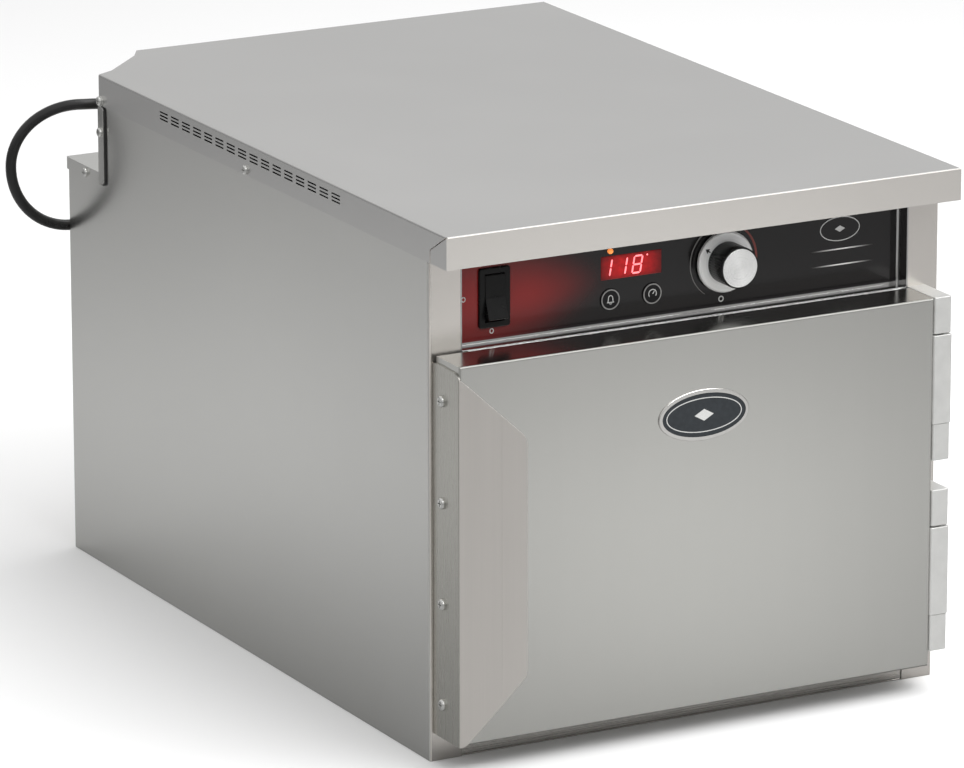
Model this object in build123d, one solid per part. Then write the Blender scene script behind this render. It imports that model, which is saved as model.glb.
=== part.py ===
from build123d import *
import math
import os

# Countertop heated holding cabinet, double walled stainless sheet, door hinged on the right.
# Origin: centre of the base footprint, on the counter. X to the right, Y to the back, Z up. mm.

# ---------------------------------------------------------------- driving dimensions
body_w = 483.0
body_d = 686.0
body_h = 452.0
sheet = 1.0
seat = 0.1
half_w = body_w / 2
front = -body_d / 2
back = body_d / 2
stile_w = 29.5
bend_r = 2.0
rail_set_back = 1.2
rail_depth = 17.0

# Cavity that holds the pans
cavity_half_w = 200.0
cavity_floor = 52.0
cavity_top = 316.0
cavity_back = 300.0
cavity_corner_r = 10.0

# Control compartment above the cavity
ledge_z = 346.0
deck_z = 348.0
recess_half_w = half_w - stile_w
recess_corner_r = 2.0
recess_depth = 14.0
panel_y = front + recess_depth

# Top cover
cover_front = -376.0
cover_back = back + 1.5
cover_half_w = half_w + 1.0
skirt_h = 27.5
skirt_bottom = body_h - skirt_h
wall_top = body_h - sheet - 0.2
lip_hem = 16.0
seam_w = 0.9
seam_back = front - 4.8
seam_knee_z = 435.6

# Rear left corner that is cut away above the cord ledge
notch_side_y = 275.5
notch_knee = (-225.5, 284.3)
notch_rear = (-183.3, 326.5)
notch_rear_x = -172.6
cord_ledge_z = 363.0
cord_ledge_h = 11.0
strap_w = 10.0
strap_t = 1.0
seal_t = 1.2
seal_reveal = 1.4

# Door
door_left = -236.5
door_right = 211.5
door_bottom = 24.8
door_top = 346.0
door_front = -386.6
door_back = front - 4.0
gasket_out = 210.0
gasket_in = 199.0
gasket_low = 38.0
gasket_high = 332.0
gasket_corner_r = 6.0
door_edge_r = 1.8
dish_half_w = 178.0
dish_h = 236.0
dish_corner_r = 12.0
badge_at = (-9.6, 275.9)
badge_half = (42.8, 21.8)
badge_rim = 3.4
badge_t = 1.2
catch_x = (-234.0, -218.0)
catch_z = (150.0, 212.0)

# Hinges on the right stile, three knuckle blocks each
hinge_tops = (346.2, 178.8)
end_knuckle_h = 31.4
mid_knuckle_h = 77.0
knuckle_gap_top = 1.3
knuckle_gap_low = 0.3
knuckle_left = door_right + 0.6
knuckle_right = 229.0
knuckle_corner_r = 2.2
knuckle_cap = 2.0
edge_screw_sink = 3.0
edge_screw_inset = 16.0
edge_screw_y = -361.0
mount_screw_x = 220.0
mid_proud = 0.6
pin_x = 224.5
pin_y = -382.0
pin_r = 2.5
run_clearance = 0.05

# Full height pull on the left edge of the door
pull_t = 1.5
pull_mid_z = 181.9
pull_low = 24.0
pull_high = 340.2
pull_shoulder_z = 336.3
pull_tip_half_h = 101.0
pull_reach = 58.0
pull_flare = 12.5
pull_corner_r = 14.0
pull_hem_w = 5.0
pull_hem_t = 1.2
pull_screw_y = -360.0
pull_screw_pitch = 86.0
pull_screw_count = 4

# Controls on the recessed panel (x, z)
switch_at = (-174.5, 383.6)
switch_bezel = (28.8, 50.4)
switch_open = (18.5, 40.7)
switch_hole = (21.2, 44.2)
switch_tilt = 10.0
display_at = (-46.2, 394.2)
display_size = (57.0, 20.0)
lamp_at = (-66.2, 408.6)
lamp_r = 2.4
button_at = ((-66.2, 367.6), (-26.6, 367.6))
button_r = 9.2
knob_at = (41.2, 386.8)
knob_r = 17.6
knob_cap_r = 16.3
dial_r = 26.0
knob_front = -357.2
dial_back = -331.3
dial_t = 3.8
shaft_r = 3.0
shaft_front = -349.0
shaft_flat = 2.0
bush_r = 4.95

# Controller board behind the panel (x0, x1, z0, z1)
board_gap = 11.6
board_t = 1.6
board_box = (-112.0, 12.0, 354.0, 438.0)

# Vent slots in the cover skirt
vent_rows = 3
vent_columns = 16
vent_pitch_y = 21.7
vent_pitch_z = 3.05
vent_size = (15.5, 1.5)
vent_first_y = -181.6
vent_low_z = 438.5

# Fasteners
screw_r = 2.0
screw_head_r = 4.2
screw_head_h = 2.8
pull_head_r = 4.9
pull_head_h = 3.2
screw_hole_r = screw_r + 0.05
side_screw_y = -15.0
side_screw_z = 429.3
strap_screw_z = 401.0
ledge_screw_at = (305.0, 357.0)
clamp_t = 1.2
clamp_r = 4.6

# Electrical parts on the deck
terminal_box = (-205.0, -150.0, 150.0, 172.0)
transformer_at = (88.0, -175.0)
high_limit_at = (70.0, 235.0)
wire_r = 1.6

# Heat system in the cavity ceiling
blower_y = 120.0
wheel_r = 55.0
wheel_low = 282.0
wheel_high = 306.0
blade_count = 12
blower_shaft_r = 4.0
motor_r = 40.0
duct_half_w = 130.0
duct_front = -20.0
duct_back = 285.0
duct_low = 270.0
heater_r = 4.0
heater_z = 296.0
heater_leg_at = (25.0, 238.0)
motor_foot_t = 3.0
motor_screw_reach = 40.0
probe_at = (-165.0, 200.0)

# Lift out pan racks
rack_levels = (66.0, 116.0, 166.0, 216.0)
rack_front = -325.0
rack_back = 285.0
upright_y = (-280.0, 240.0)
stud_z = (100.0, 250.0)
rack_lift = 14.0
upright_w = 20.0

# Power cord
cord_r = 4.8
cord_exit_z = 413.5
loop_top = (-236.0, 327.3, 413.5)
loop_far = (-294.0, 352.0, 357.0)
loop_low = (-236.0, 349.6, 298.5)
cord_behind = (-175.0, back + 11.5, 272.0)
cord_run = (-110.0, back + 10.0, 215.0)
plug_top = (-70.0, back + 11.0, 92.0)
relief_r = 7.5
relief_collar_r = 9.4

MIN = Align.MIN
MAX = Align.MAX
CEN = Align.CENTER


# ---------------------------------------------------------------- helpers
def span(x0, x1, y0, y1, z0, z1):
    """Rectangular block between two corners."""
    size = Box(x1 - x0, y1 - y0, z1 - z0, align=(MIN, MIN, MIN))
    return Pos(x0, y0, z0) * size


def facing(point, outward):
    """Location whose local +Z points outward at the given point."""
    return Plane(origin=point, z_dir=outward).location


def rod(start, direction, radius, length):
    """Cylinder from a point along a direction."""
    return facing(start, direction) * Cylinder(radius, length, align=(CEN, CEN, MIN))


def pan_screw(length, head_r=screw_head_r, head_h=screw_head_h, radius=screw_r):
    """Pan head cross recess screw, head underside at the origin, shank along local -Z."""
    head = Cylinder(head_r, head_h, align=(CEN, CEN, MIN))
    head = fillet(head.edges().group_by(Axis.Z)[-1], head_h * 0.6)
    shank = Cylinder(radius, length, align=(CEN, CEN, MAX))
    arm = Box(head_r * 1.1, head_r * 0.22, head_h, align=(CEN, CEN, MIN))
    cross = Pos(0, 0, head_h * 0.45) * (arm + Rot(0, 0, 90) * arm)
    return head + shank - cross


def screws(points, outward, length, **sizes):
    """Identical screws, one solid at each point."""
    return Compound(children=[facing(point, outward) * pan_screw(length, **sizes) for point in points])


def drill(shape, points, outward, radius=screw_hole_r, depth=12.0):
    """Straight holes centred on the given points."""
    for point in points:
        shape = shape - facing(point, outward) * Cylinder(radius, depth)
    return shape


def plan_face(points):
    """Face in the XY plane from corner points."""
    return make_face(Polyline(*points, close=True))


def slot_grid(x_mid, depth):
    """Cutter for the rows of vent slots on one side of the cover."""
    length, height = vent_size
    slots = []
    for column in range(vent_columns):
        for row in range(vent_rows):
            y = vent_first_y + column * vent_pitch_y
            z = vent_low_z + row * vent_pitch_z
            slots.append(Pos(x_mid, y, z) * Box(depth, length, height))
    return Compound(children=slots)


# ---------------------------------------------------------------- outer casing
def stile_profile(side):
    """Plan profile of a side panel with its front stile turned in and a short return flange."""
    outer = half_w
    inner = half_w - sheet
    lip = half_w - stile_w
    points = [(outer, back), (outer, front), (lip, front), (lip, front + sheet),
              (inner, front + sheet), (inner, back)]
    return plan_face([(side * x, y) for x, y in points])


def side_panel(side):
    """Outer side panel. The left one is notched at its rear upper corner."""
    panel = extrude(stile_profile(side), wall_top)
    corner = panel.edges().filter_by(Axis.Z).filter_by(
        lambda e: abs(e.center().Y - front) < 0.01 and abs(abs(e.center().X) - half_w) < 0.01)
    panel = fillet(corner, bend_r)
    window_front = vent_first_y - vent_size[0]
    window_back = vent_first_y + vent_columns * vent_pitch_y
    panel -= span(side * half_w - 3, side * half_w + 3, window_front, window_back,
                  vent_low_z - 4.0, vent_low_z + 8.0)
    face_x = side * half_w
    outward = (side, 0, 0)
    panel = drill(panel, [(face_x, side_screw_y, side_screw_z)], outward)
    rear_screw_y = notch_side_y - strap_w / 2
    if side < 0:
        panel -= span(face_x - 2, face_x + 2, notch_side_y - strap_w, back + 1,
                      cord_ledge_z - sheet - 0.2, body_h)
        panel = drill(panel, [(face_x, *ledge_screw_at)], outward)
    else:
        panel = drill(panel, [(face_x, rear_screw_y, side_screw_z)], outward)
        panel = drill(panel, hinge_mount_points(), (0, 1, 0))
    return panel


def back_panel():
    """Rear sheet between the side panels with folded edges and a vented upper part."""
    edge = half_w - sheet - seat
    fold = 12.0
    panel = span(-edge, edge, back - sheet, back, 1.2, wall_top)
    for side in (-1, 1):
        wall = sorted((side * edge, side * (edge - sheet)))
        panel += span(wall[0], wall[1], back - fold, back, 1.2, wall_top)
    panel -= span(-half_w, notch_rear_x + 2.5, back - fold - 1, back + 1, cord_ledge_z - sheet - 0.2, body_h)
    slot_w, slot_h, pitch_x, pitch_z = 34.0, 3.0, 46.0, 10.0
    first_x, first_z = 24.0, 375.0
    for column in range(3):
        for row in range(4):
            x = first_x + column * pitch_x
            z = first_z + row * pitch_z
            panel -= Pos(x, back, z) * Box(slot_w, 6, slot_h)
    panel = drill(panel, back_screw_points(), (0, 1, 0))
    return panel


def back_screw_points():
    """Screws that hold the rear sheet along both edges."""
    inset = half_w - 14.0
    heights = (30.0, 130.0, 230.0, 330.0)
    return [(side * inset, back, z) for side in (-1, 1) for z in heights]


def base_panel():
    """Bottom pan with upturned edges. Its underside rests on the counter."""
    edge = half_w - sheet - seat
    low = front + sheet + seat
    high = back - sheet - seat
    lip = 20.0
    pan = span(-edge, edge, low, high, 0, sheet)
    for side in (-1, 1):
        wall = sorted((side * edge, side * (edge - sheet)))
        pan += span(wall[0], wall[1], low, high - 13, 0, lip)
    return pan


def bottom_rail():
    """Front cross member below the door, set back a little between the stiles and open at the back."""
    edge = recess_half_w - seat
    face_y = front + rail_set_back
    top = door_bottom - 0.3
    low = sheet + 0.2
    rail = span(-edge, edge, face_y, face_y + rail_depth, low, top)
    rail -= span(-edge, edge, face_y + sheet, face_y + rail_depth + 1, low - 1, top - sheet)
    return fillet(rail.edges().filter_by(Axis.X).group_by(Axis.Y)[0].group_by(Axis.Z)[0], 0.6)


def cavity_liner():
    """Welded inner box with coved corners and a front flange that seals against the gasket."""
    height = cavity_top - cavity_floor
    mid_z = (cavity_top + cavity_floor) / 2
    length = cavity_back - front
    opening = Pos(0, front, mid_z) * Rot(-90, 0, 0)
    inner_2d = RectangleRounded(2 * cavity_half_w, height, cavity_corner_r)
    outer_2d = RectangleRounded(2 * (cavity_half_w + sheet), height + 2 * sheet, cavity_corner_r + sheet)
    box = opening * extrude(outer_2d, length + sheet)
    flange = span(-(recess_half_w - seat), recess_half_w - seat, front, front + sheet,
                  door_bottom, ledge_z - sheet - 0.2)
    liner = box + flange - opening * extrude(inner_2d, length)
    liner = drill(liner, [(0, blower_y, cavity_top)], (0, 0, 1), radius=8.0)
    liner = drill(liner, heater_posts(cavity_top), (0, 0, 1), radius=heater_r + 0.1)
    liner = drill(liner, [(*probe_at, cavity_top)], (0, 0, 1), radius=3.1)
    for side in (-1, 1):
        liner = drill(liner, stud_points(side), (1, 0, 0), radius=3.05)
    return liner


def insulation_batts():
    """Mineral wool round the cavity: two sides, rear, roof and floor batts."""
    wide = half_w - sheet - 2.5
    narrow = cavity_half_w + 9
    low = 4.0
    high = deck_z - 1
    gap = 0.5
    right = span(cavity_half_w + 10, wide, front + 20, cavity_back, low, high)
    rear = span(-wide, wide, cavity_back + sheet + gap, back - 14, low, high)
    floor = span(-narrow, narrow, front + 20, cavity_back, low, cavity_floor - sheet - gap)
    roof = span(-narrow, narrow, front + 20, cavity_back, cavity_top + sheet + gap, high)
    through = 90
    roof = drill(roof, [(0, blower_y, cavity_top)], (0, 0, 1), radius=14.0, depth=through)
    roof = drill(roof, heater_posts(cavity_top), (0, 0, 1), radius=8.0, depth=through)
    roof = drill(roof, [(*probe_at, cavity_top)], (0, 0, 1), radius=6.0, depth=through)
    return Compound(children=[right, mirror(right, Plane.YZ), rear, floor, roof])


def component_deck():
    """Sheet that carries the electrical parts over the cavity insulation."""
    edge = half_w - sheet - seat
    deck = span(-edge, edge, panel_y + sheet + 0.2, back - sheet - 14, deck_z, deck_z + sheet)
    deck = drill(deck, [(0, blower_y, deck_z)], (0, 0, 1), radius=8.0)
    deck = drill(deck, heater_posts(deck_z), (0, 0, 1), radius=heater_r + 0.1)
    return drill(deck, [(*probe_at, deck_z)], (0, 0, 1), radius=3.1)


# ---------------------------------------------------------------- top cover and cord corner
def cover_outline():
    """Plan outline of the top cover, with the rear left corner cut for the cord."""
    return [(-cover_half_w, cover_front), (cover_half_w, cover_front), (cover_half_w, cover_back),
            (notch_rear_x, cover_back), notch_rear, notch_knee, (-cover_half_w, notch_side_y)]


def top_cover():
    """Folded lid: flat top, side and rear skirts, and a deep lip that oversails the controls."""
    outline = plan_face(cover_outline())
    solid = Pos(0, 0, skirt_bottom) * extrude(outline, skirt_h)
    hollow = offset(outline, -sheet, kind=Kind.INTERSECTION)
    inside = Pos(0, 0, skirt_bottom) * extrude(hollow, skirt_h - sheet)
    cover = solid - inside
    top_edges = cover.edges().group_by(Axis.Z)[-1].filter_by(
        lambda e: abs(e.center().Y - cover_front) < 0.01 or abs(abs(e.center().X) - cover_half_w) < 0.01)
    cover = fillet(top_edges, 1.4)
    cover += span(-cover_half_w + sheet, cover_half_w - sheet, cover_front + sheet, cover_front + lip_hem,
                  skirt_bottom, skirt_bottom + sheet)
    for side in (-1, 1):
        cover -= slot_grid(side * cover_half_w, 6)
        cover -= corner_seam(side)
    outward = (1, 0, 0)
    cover = drill(cover, [(-cover_half_w, side_screw_y, side_screw_z)], outward)
    cover = drill(cover, [(-cover_half_w, notch_side_y - strap_w / 2, side_screw_z)], outward)
    cover = drill(cover, [(cover_half_w, side_screw_y, side_screw_z)], outward)
    cover = drill(cover, [(cover_half_w, notch_side_y - strap_w / 2, side_screw_z)], outward)
    return cover


def corner_seam(side):
    """Narrow gap where the side skirt is mitred into the front lip."""
    line = Polyline((cover_front - 1, body_h + 0.5), (seam_back, seam_knee_z), (seam_back, skirt_bottom - 1))
    strip = Plane.YZ * trace(line, line_width=seam_w)
    return Pos(side * cover_half_w, 0, 0) * extrude(strip, 1.3 * sheet, both=True)


def notch_cover():
    """Folded sheet that closes the control compartment at the cut corner."""
    outline = plan_face(cover_outline())
    outer = offset(outline, -(sheet + 0.2), kind=Kind.INTERSECTION)
    inner = offset(outline, -(2 * sheet + 0.2), kind=Kind.INTERSECTION)
    low = cord_ledge_z + 0.1
    ring = Pos(0, 0, low) * extrude(outer - inner, wall_top - low)
    keep = span(-half_w - 2, notch_rear_x + 2.2, notch_side_y - strap_w + 0.3, back + 2, 300, body_h)
    wall = ring & keep
    cord_hole = rod(cord_exit(0, -6), (-1, 1, 0), relief_r + 0.1, 14)
    strap_points = [(-half_w, notch_side_y - strap_w / 2, z) for z in (side_screw_z, strap_screw_z)]
    return drill(wall - cord_hole, strap_points, (-1, 0, 0))


def cord_exit(lateral, out):
    """Point on the cut corner face where the cord leaves, moved out along its normal."""
    mid_x = (notch_knee[0] + notch_rear[0]) / 2
    mid_y = (notch_knee[1] + notch_rear[1]) / 2
    root = math.sqrt(0.5)
    return (mid_x + (lateral - out) * root, mid_y + (lateral + out) * root, cord_exit_z)


def strap_outline(low, high, y0, y1, radius):
    """Strip in the YZ plane with rounded ends."""
    mid = ((y0 + y1) / 2, (low + high) / 2)
    return Pos(0, mid[0], mid[1]) * (Plane.YZ * RectangleRounded(y1 - y0, high - low, radius))


def corner_strap():
    """Upright strip that covers the joint at the cut corner."""
    y1 = notch_side_y + 0.5
    face = strap_outline(354.0, skirt_bottom - 0.2, notch_side_y - strap_w, y1, 4.0)
    strap = Pos(-half_w - seal_t, 0, 0) * extrude(face, -strap_t)
    return drill(strap, [(-half_w, notch_side_y - strap_w / 2, strap_screw_z)], (-1, 0, 0))


def corner_seal():
    """Black foam strip under the corner strap."""
    y0 = notch_side_y - strap_w - seal_reveal
    face = strap_outline(352.6, skirt_bottom - 0.2, y0, notch_side_y, 4.6)
    seal = Pos(-half_w, 0, 0) * extrude(face, -seal_t)
    return drill(seal, [(-half_w, notch_side_y - strap_w / 2, strap_screw_z)], (-1, 0, 0))


def cord_ledge():
    """Small folded cap over the lower rear corner, under the cut corner."""
    x0 = -half_w - sheet
    y0 = notch_side_y + 1.5
    y1 = back + 3.0
    x1 = notch_rear_x + 2.0
    low = cord_ledge_z - cord_ledge_h
    cap = span(x0, x1, y0, y1, low, cord_ledge_z)
    cap -= span(x0 + sheet, x1 + 1, y0 - 1, y1 - sheet, low - 1, cord_ledge_z - sheet)
    cap = fillet(cap.edges().filter_by(Axis.Z).sort_by(lambda e: e.center().X - e.center().Y)[0], 1.5)
    return drill(cap, [(x0, *ledge_screw_at)], (-1, 0, 0))


def motor_screw_points():
    """Corners of the blower motor foot, on top of it."""
    top = deck_z + sheet + motor_foot_t
    reach = motor_screw_reach
    return [(sx * reach, blower_y + sy * reach, top) for sx in (-1, 1) for sy in (-1, 1)]


def casing_screws():
    """Identical pan head screws of the cover, corner strap, cord ledge, rear sheet and motor foot."""
    rear_y = notch_side_y - strap_w / 2
    groups = [
        screws([(-cover_half_w, side_screw_y, side_screw_z)], (-1, 0, 0), 8),
        screws([(cover_half_w, y, side_screw_z) for y in (side_screw_y, rear_y)], (1, 0, 0), 8),
        screws([(-cover_half_w - clamp_t, rear_y, side_screw_z)], (-1, 0, 0), 8),
        screws([(-half_w - seal_t - strap_t, rear_y, strap_screw_z)], (-1, 0, 0), 9),
        screws([(-half_w - sheet, *ledge_screw_at)], (-1, 0, 0), 8),
        screws(back_screw_points(), (0, 1, 0), 6),
        screws(motor_screw_points(), (0, 0, 1), motor_foot_t - 0.2),
    ]
    return Compound(children=[screw for group in groups for screw in group.solids()])


# ---------------------------------------------------------------- power cord
def cord_clamp():
    """Bent strip that grips the cord beside the top corner screw."""
    y0 = notch_side_y - strap_w / 2
    disc = Cylinder(clamp_r, clamp_t, align=(CEN, CEN, MIN))
    tab = Pos(-cover_half_w, y0, side_screw_z) * Rot(0, -90, 0) * disc
    return drill(tab, [(-cover_half_w, y0, side_screw_z)], (-1, 0, 0))


def strain_relief():
    """Moulded bush in the cut corner face with tapering bend relief."""
    axis = (-1, 1, 0)
    body = rod(cord_exit(0, -5), axis, relief_r, 8)
    collar = rod(cord_exit(0, 0.2), axis, relief_collar_r, 4)
    nose = facing(cord_exit(0, 4), axis) * Cone(relief_r, cord_r + 1.4, 14, align=(CEN, CEN, MIN))
    bore = rod(cord_exit(0, -8), axis, cord_r + 0.02, 60)
    return body + collar + nose - bore


def loop_quarter(middle, side, half_w_mm, half_h_mm, start, stop):
    """Quarter of an upright ellipse, turning down from start to stop degrees."""
    plane = Plane(origin=middle, x_dir=side, z_dir=side.cross(Vector(0, 0, 1)))
    return Edge.make_ellipse(half_w_mm, half_h_mm, plane, start, stop, AngularDirection.CLOCKWISE)


def cord_path():
    """Centre line of the cord: out of the corner, round a loop beside the cabinet, then down behind it."""
    top, far, low = Vector(*loop_top), Vector(*loop_far), Vector(*loop_low)
    upper_mid = Vector(top.X, top.Y, far.Z)
    lower_mid = Vector(low.X, low.Y, far.Z)
    outward, homeward = far - upper_mid, far - lower_mid
    start = Vector(*cord_exit(0, -5))
    straight_end = Vector(*cord_exit(0, 21))
    lead = Line(start, straight_end)
    rise = Spline(straight_end, top, tangents=(Vector(-1, 1, 0).normalized(), outward.normalized()))
    upper = loop_quarter(upper_mid, outward.normalized(), outward.length, top.Z - far.Z, 90, 0)
    lower = loop_quarter(lower_mid, homeward.normalized(), homeward.length, far.Z - low.Z, 360, 270)
    tail = Spline(low, Vector(*cord_behind), Vector(*cord_run), Vector(*plug_top),
                  tangents=(-homeward.normalized(), Vector(0, 0, -1)))
    return Wire([lead.edge(), rise.edge(), upper, lower, tail.edge()])


def power_cord():
    """Round flexible cord."""
    profile = Plane(origin=cord_exit(0, -5), z_dir=(-1, 1, 0)) * Circle(cord_r)
    return sweep(profile, path=cord_path(), transition=Transition.RIGHT)


def power_plug():
    """Moulded grounded plug, blades down."""
    x, y, z = plug_top
    relief_h, body_h_mm = 22.0, 26.0
    blade_half_gap, blade_y, pin_y_mm = 6.35, -3.0, 5.0
    relief = Pos(x, y, z - relief_h) * Cone(9.0, 6.2, relief_h, align=(CEN, CEN, MIN))
    body = extrude(Pos(x, y, z - relief_h) * RectangleRounded(26, 19, 8), -body_h_mm)
    body = fillet(body.edges().group_by(Axis.Z)[-1], 3.0)
    base = z - relief_h - body_h_mm
    plug = relief + body + Pos(x, y + pin_y_mm, base) * Cylinder(2.4, 20, align=(CEN, CEN, MAX))
    for side in (-1, 1):
        plug += Pos(x + side * blade_half_gap, y + blade_y, base) * Box(1.5, 6.3, 18, align=(CEN, CEN, MAX))
    return plug - Pos(x, y, z - 8) * Cylinder(cord_r + 0.02, 30, align=(CEN, CEN, MIN))


# ---------------------------------------------------------------- door
def door_skin():
    """Outer door pan with rolled front edges, open at the back."""
    skin = span(door_left, door_right, door_front, door_back, door_bottom, door_top)
    skin = fillet(skin.edges().group_by(Axis.Y)[0], door_edge_r)
    skin -= span(door_left + sheet, door_right - sheet, door_front + sheet, door_back + 1,
                 door_bottom + sheet, door_top - sheet)
    skin = drill(skin, pull_screw_points(door_left), (-1, 0, 0))
    skin = drill(skin, hinge_edge_points(), (1, 0, 0))
    return skin


def door_liner():
    """Inner door pan, dished towards the cavity inside the gasket."""
    gap = sheet + 0.1
    rise = 2.2
    pan = span(door_left + gap, door_right - gap, door_back - sheet, door_back,
               door_bottom + gap, door_top - gap)
    dish_mid = (gasket_low + gasket_high) / 2
    outer = RectangleRounded(2 * dish_half_w, dish_h, dish_corner_r)
    inner = RectangleRounded(2 * (dish_half_w - sheet), dish_h - 2 * sheet, dish_corner_r - sheet)
    pan += Pos(0, door_back, dish_mid) * Rot(-90, 0, 0) * extrude(outer, rise)
    return pan - Pos(0, door_back - sheet, dish_mid) * Rot(-90, 0, 0) * extrude(inner, rise)


def door_insulation():
    """Foam board that fills the door."""
    gap = sheet + 0.3
    return span(door_left + gap + 8, door_right - gap - 8, door_front + gap, door_back - sheet - 0.3,
                door_bottom + gap, door_top - gap)


def door_gasket():
    """Bulb seal round the inner face of the door."""
    mid_z = (gasket_low + gasket_high) / 2
    width = gasket_out - gasket_in
    height = gasket_high - gasket_low
    outer = RectangleRounded(2 * gasket_out, height, gasket_corner_r)
    inner = RectangleRounded(2 * gasket_in, height - 2 * width, gasket_corner_r / 2)
    base = Pos(0, door_back, mid_z) * Rot(-90, 0, 0)
    ring = base * extrude(outer - inner, -door_back + front - 0.3)
    return fillet(ring.edges().group_by(Axis.Y)[-1], 1.6)


def door_badge():
    """Plain oval plate stuck to the door front."""
    x, z = badge_at
    half_l, half_h = badge_half
    plate = Pos(x, door_front, z) * Rot(90, 0, 0) * extrude(Ellipse(half_l, half_h), badge_t)
    plate = fillet(plate.edges().group_by(Axis.Y)[0], 0.8)
    field = Pos(x, door_front - badge_t, z) * Rot(90, 0, 0)
    return plate - field * extrude(Ellipse(half_l - badge_rim, half_h - badge_rim), -0.4)


def pull_screw_points(x):
    """Screws down the side flange of the door pull."""
    first = pull_mid_z + 0.6 - pull_screw_pitch * (pull_screw_count - 1) / 2
    return [(x, pull_screw_y, first + i * pull_screw_pitch) for i in range(pull_screw_count)]


def pull_flange(outer_x, bend_y, flange_back):
    """Flange on the door edge, with a rounded shoulder that drops towards the bend."""
    length = flange_back - bend_y
    mid_y = bend_y + 0.4 * length
    crest = Spline((flange_back, pull_high - 1.0), (mid_y, pull_high), (bend_y, pull_shoulder_z),
                   tangents=((-1, 0.35), (-0.6, -0.8)))
    foot = Polyline((bend_y, pull_shoulder_z), (bend_y, pull_low), (flange_back, pull_low),
                    (flange_back, pull_high - 1.0))
    face = Plane.YZ * make_face(crest + foot)
    return Pos(outer_x, 0, 0) * extrude(face, pull_t)


def pull_grip(plane):
    """Flared grip with cut back corners and a hem folded under its free edge."""
    rise = pull_shoulder_z - pull_mid_z
    drop = pull_mid_z - pull_low
    shoulder = 5.0
    outline = [(0, -drop), (shoulder, -drop), (pull_reach, -pull_tip_half_h), (pull_reach, pull_tip_half_h),
               (shoulder, rise - 3.8), (0, rise)]
    face = make_face(Polyline(*outline, close=True))
    face = fillet(face.vertices().filter_by(lambda v: v.X > pull_reach - 1), pull_corner_r)
    face = fillet(face.vertices().filter_by(lambda v: abs(v.X - shoulder) < 1), 2 * shoulder)
    hem_span = 2 * pull_tip_half_h - pull_corner_r
    hem = Pos(pull_reach - pull_hem_w / 2, 0, -pull_t) * Box(pull_hem_w, hem_span, pull_hem_t,
                                                             align=(CEN, CEN, MAX))
    return plane * (extrude(face, -pull_t) + hem)


def door_pull():
    """Full height folded strip: flange on the door edge, grip flared out in front of the door."""
    outer_x = door_left - pull_t
    flange_back = front - 0.4
    bend_y = door_front - 1.2
    flare = math.radians(pull_flare)
    plane = Plane(origin=(outer_x, bend_y, pull_mid_z), x_dir=(math.cos(flare), -math.sin(flare), 0),
                  z_dir=(-math.sin(flare), -math.cos(flare), 0))
    pull = pull_flange(outer_x, bend_y, flange_back) + pull_grip(plane)
    bend = pull.edges().filter_by(Axis.Z).sort_by(
        lambda e: abs(e.center().X - outer_x) + abs(e.center().Y - bend_y))[0]
    pull = fillet(bend, 1.2)
    pull -= span(door_left, door_left + 4, door_front, flange_back, 0, body_h)
    return drill(pull, pull_screw_points(outer_x), (-1, 0, 0))


def pull_screws():
    """Pan head screws of the door pull."""
    points = pull_screw_points(door_left - pull_t)
    return screws(points, (-1, 0, 0), 7, head_r=pull_head_r, head_h=pull_head_h)


def magnetic_catch():
    """Flat magnet case on the left stile."""
    case = span(*catch_x, front - 3.0, front, *catch_z)
    return fillet(case.edges().group_by(Axis.Y)[0], 0.8)


def catch_strike():
    """Steel strike plate on the inner face of the door."""
    x0, x1 = catch_x
    z0, z1 = catch_z
    return span(x0 - 1, x1 + 1, door_back, door_back + 0.7, z0 - 3, z1 + 3)


# ---------------------------------------------------------------- hinges
def hinge_levels(top):
    """Heights that bound the three knuckles of a hinge, from the top down."""
    upper_low = top - end_knuckle_h
    mid_high = upper_low - knuckle_gap_top
    mid_low = mid_high - mid_knuckle_h
    lower_high = mid_low - knuckle_gap_low
    return upper_low, mid_high, mid_low, lower_high, lower_high - end_knuckle_h


def hinge_mount_points():
    """Screws from inside the stile into the fixed knuckles."""
    points = []
    for top in hinge_tops:
        upper_low, _, _, lower_high, _ = hinge_levels(top)
        for z in (upper_low + end_knuckle_h / 2, lower_high - end_knuckle_h / 2):
            points.append((mount_screw_x, front, z))
    return points


def hinge_edge_points():
    """Screws that hold the moving knuckle to the door edge."""
    points = []
    for top in hinge_tops:
        _, mid_high, mid_low, _, _ = hinge_levels(top)
        for z in (mid_high - edge_screw_inset, mid_low + edge_screw_inset):
            points.append((door_right, edge_screw_y, z))
    return points


def knuckle(x0, x1, y0, y1, z0, z1, hole_r, cap=0.0):
    """Cast hinge block with rounded front corners and a pin hole, closed by a cap at its top if asked."""
    block = span(x0, x1, y0, y1, z0, z1)
    block = fillet(block.edges().filter_by(Axis.Z).group_by(Axis.Y)[0], knuckle_corner_r)
    block = chamfer(block.edges().group_by(Axis.Z)[-1] + block.edges().group_by(Axis.Z)[0], 0.4)
    hole_top = z1 - cap if cap else z1 + 1
    return block - rod((pin_x, pin_y, z0 - 1), (0, 0, 1), hole_r, hole_top - z0 + 1)


def hinge_fixed_knuckles():
    """Upper and lower knuckles of both hinges, screwed to the stile."""
    blocks = []
    for top in hinge_tops:
        upper_low, _, _, lower_high, bottom = hinge_levels(top)
        for z0, z1, cap in ((upper_low, top, knuckle_cap), (bottom, lower_high, 0.0)):
            block = knuckle(knuckle_left, knuckle_right, door_front, front, z0, z1, pin_r + 0.01, cap)
            blocks.append(block)
    drilled = [drill(block, hinge_mount_points(), (0, 1, 0), depth=24) for block in blocks]
    return Compound(children=drilled)


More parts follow.
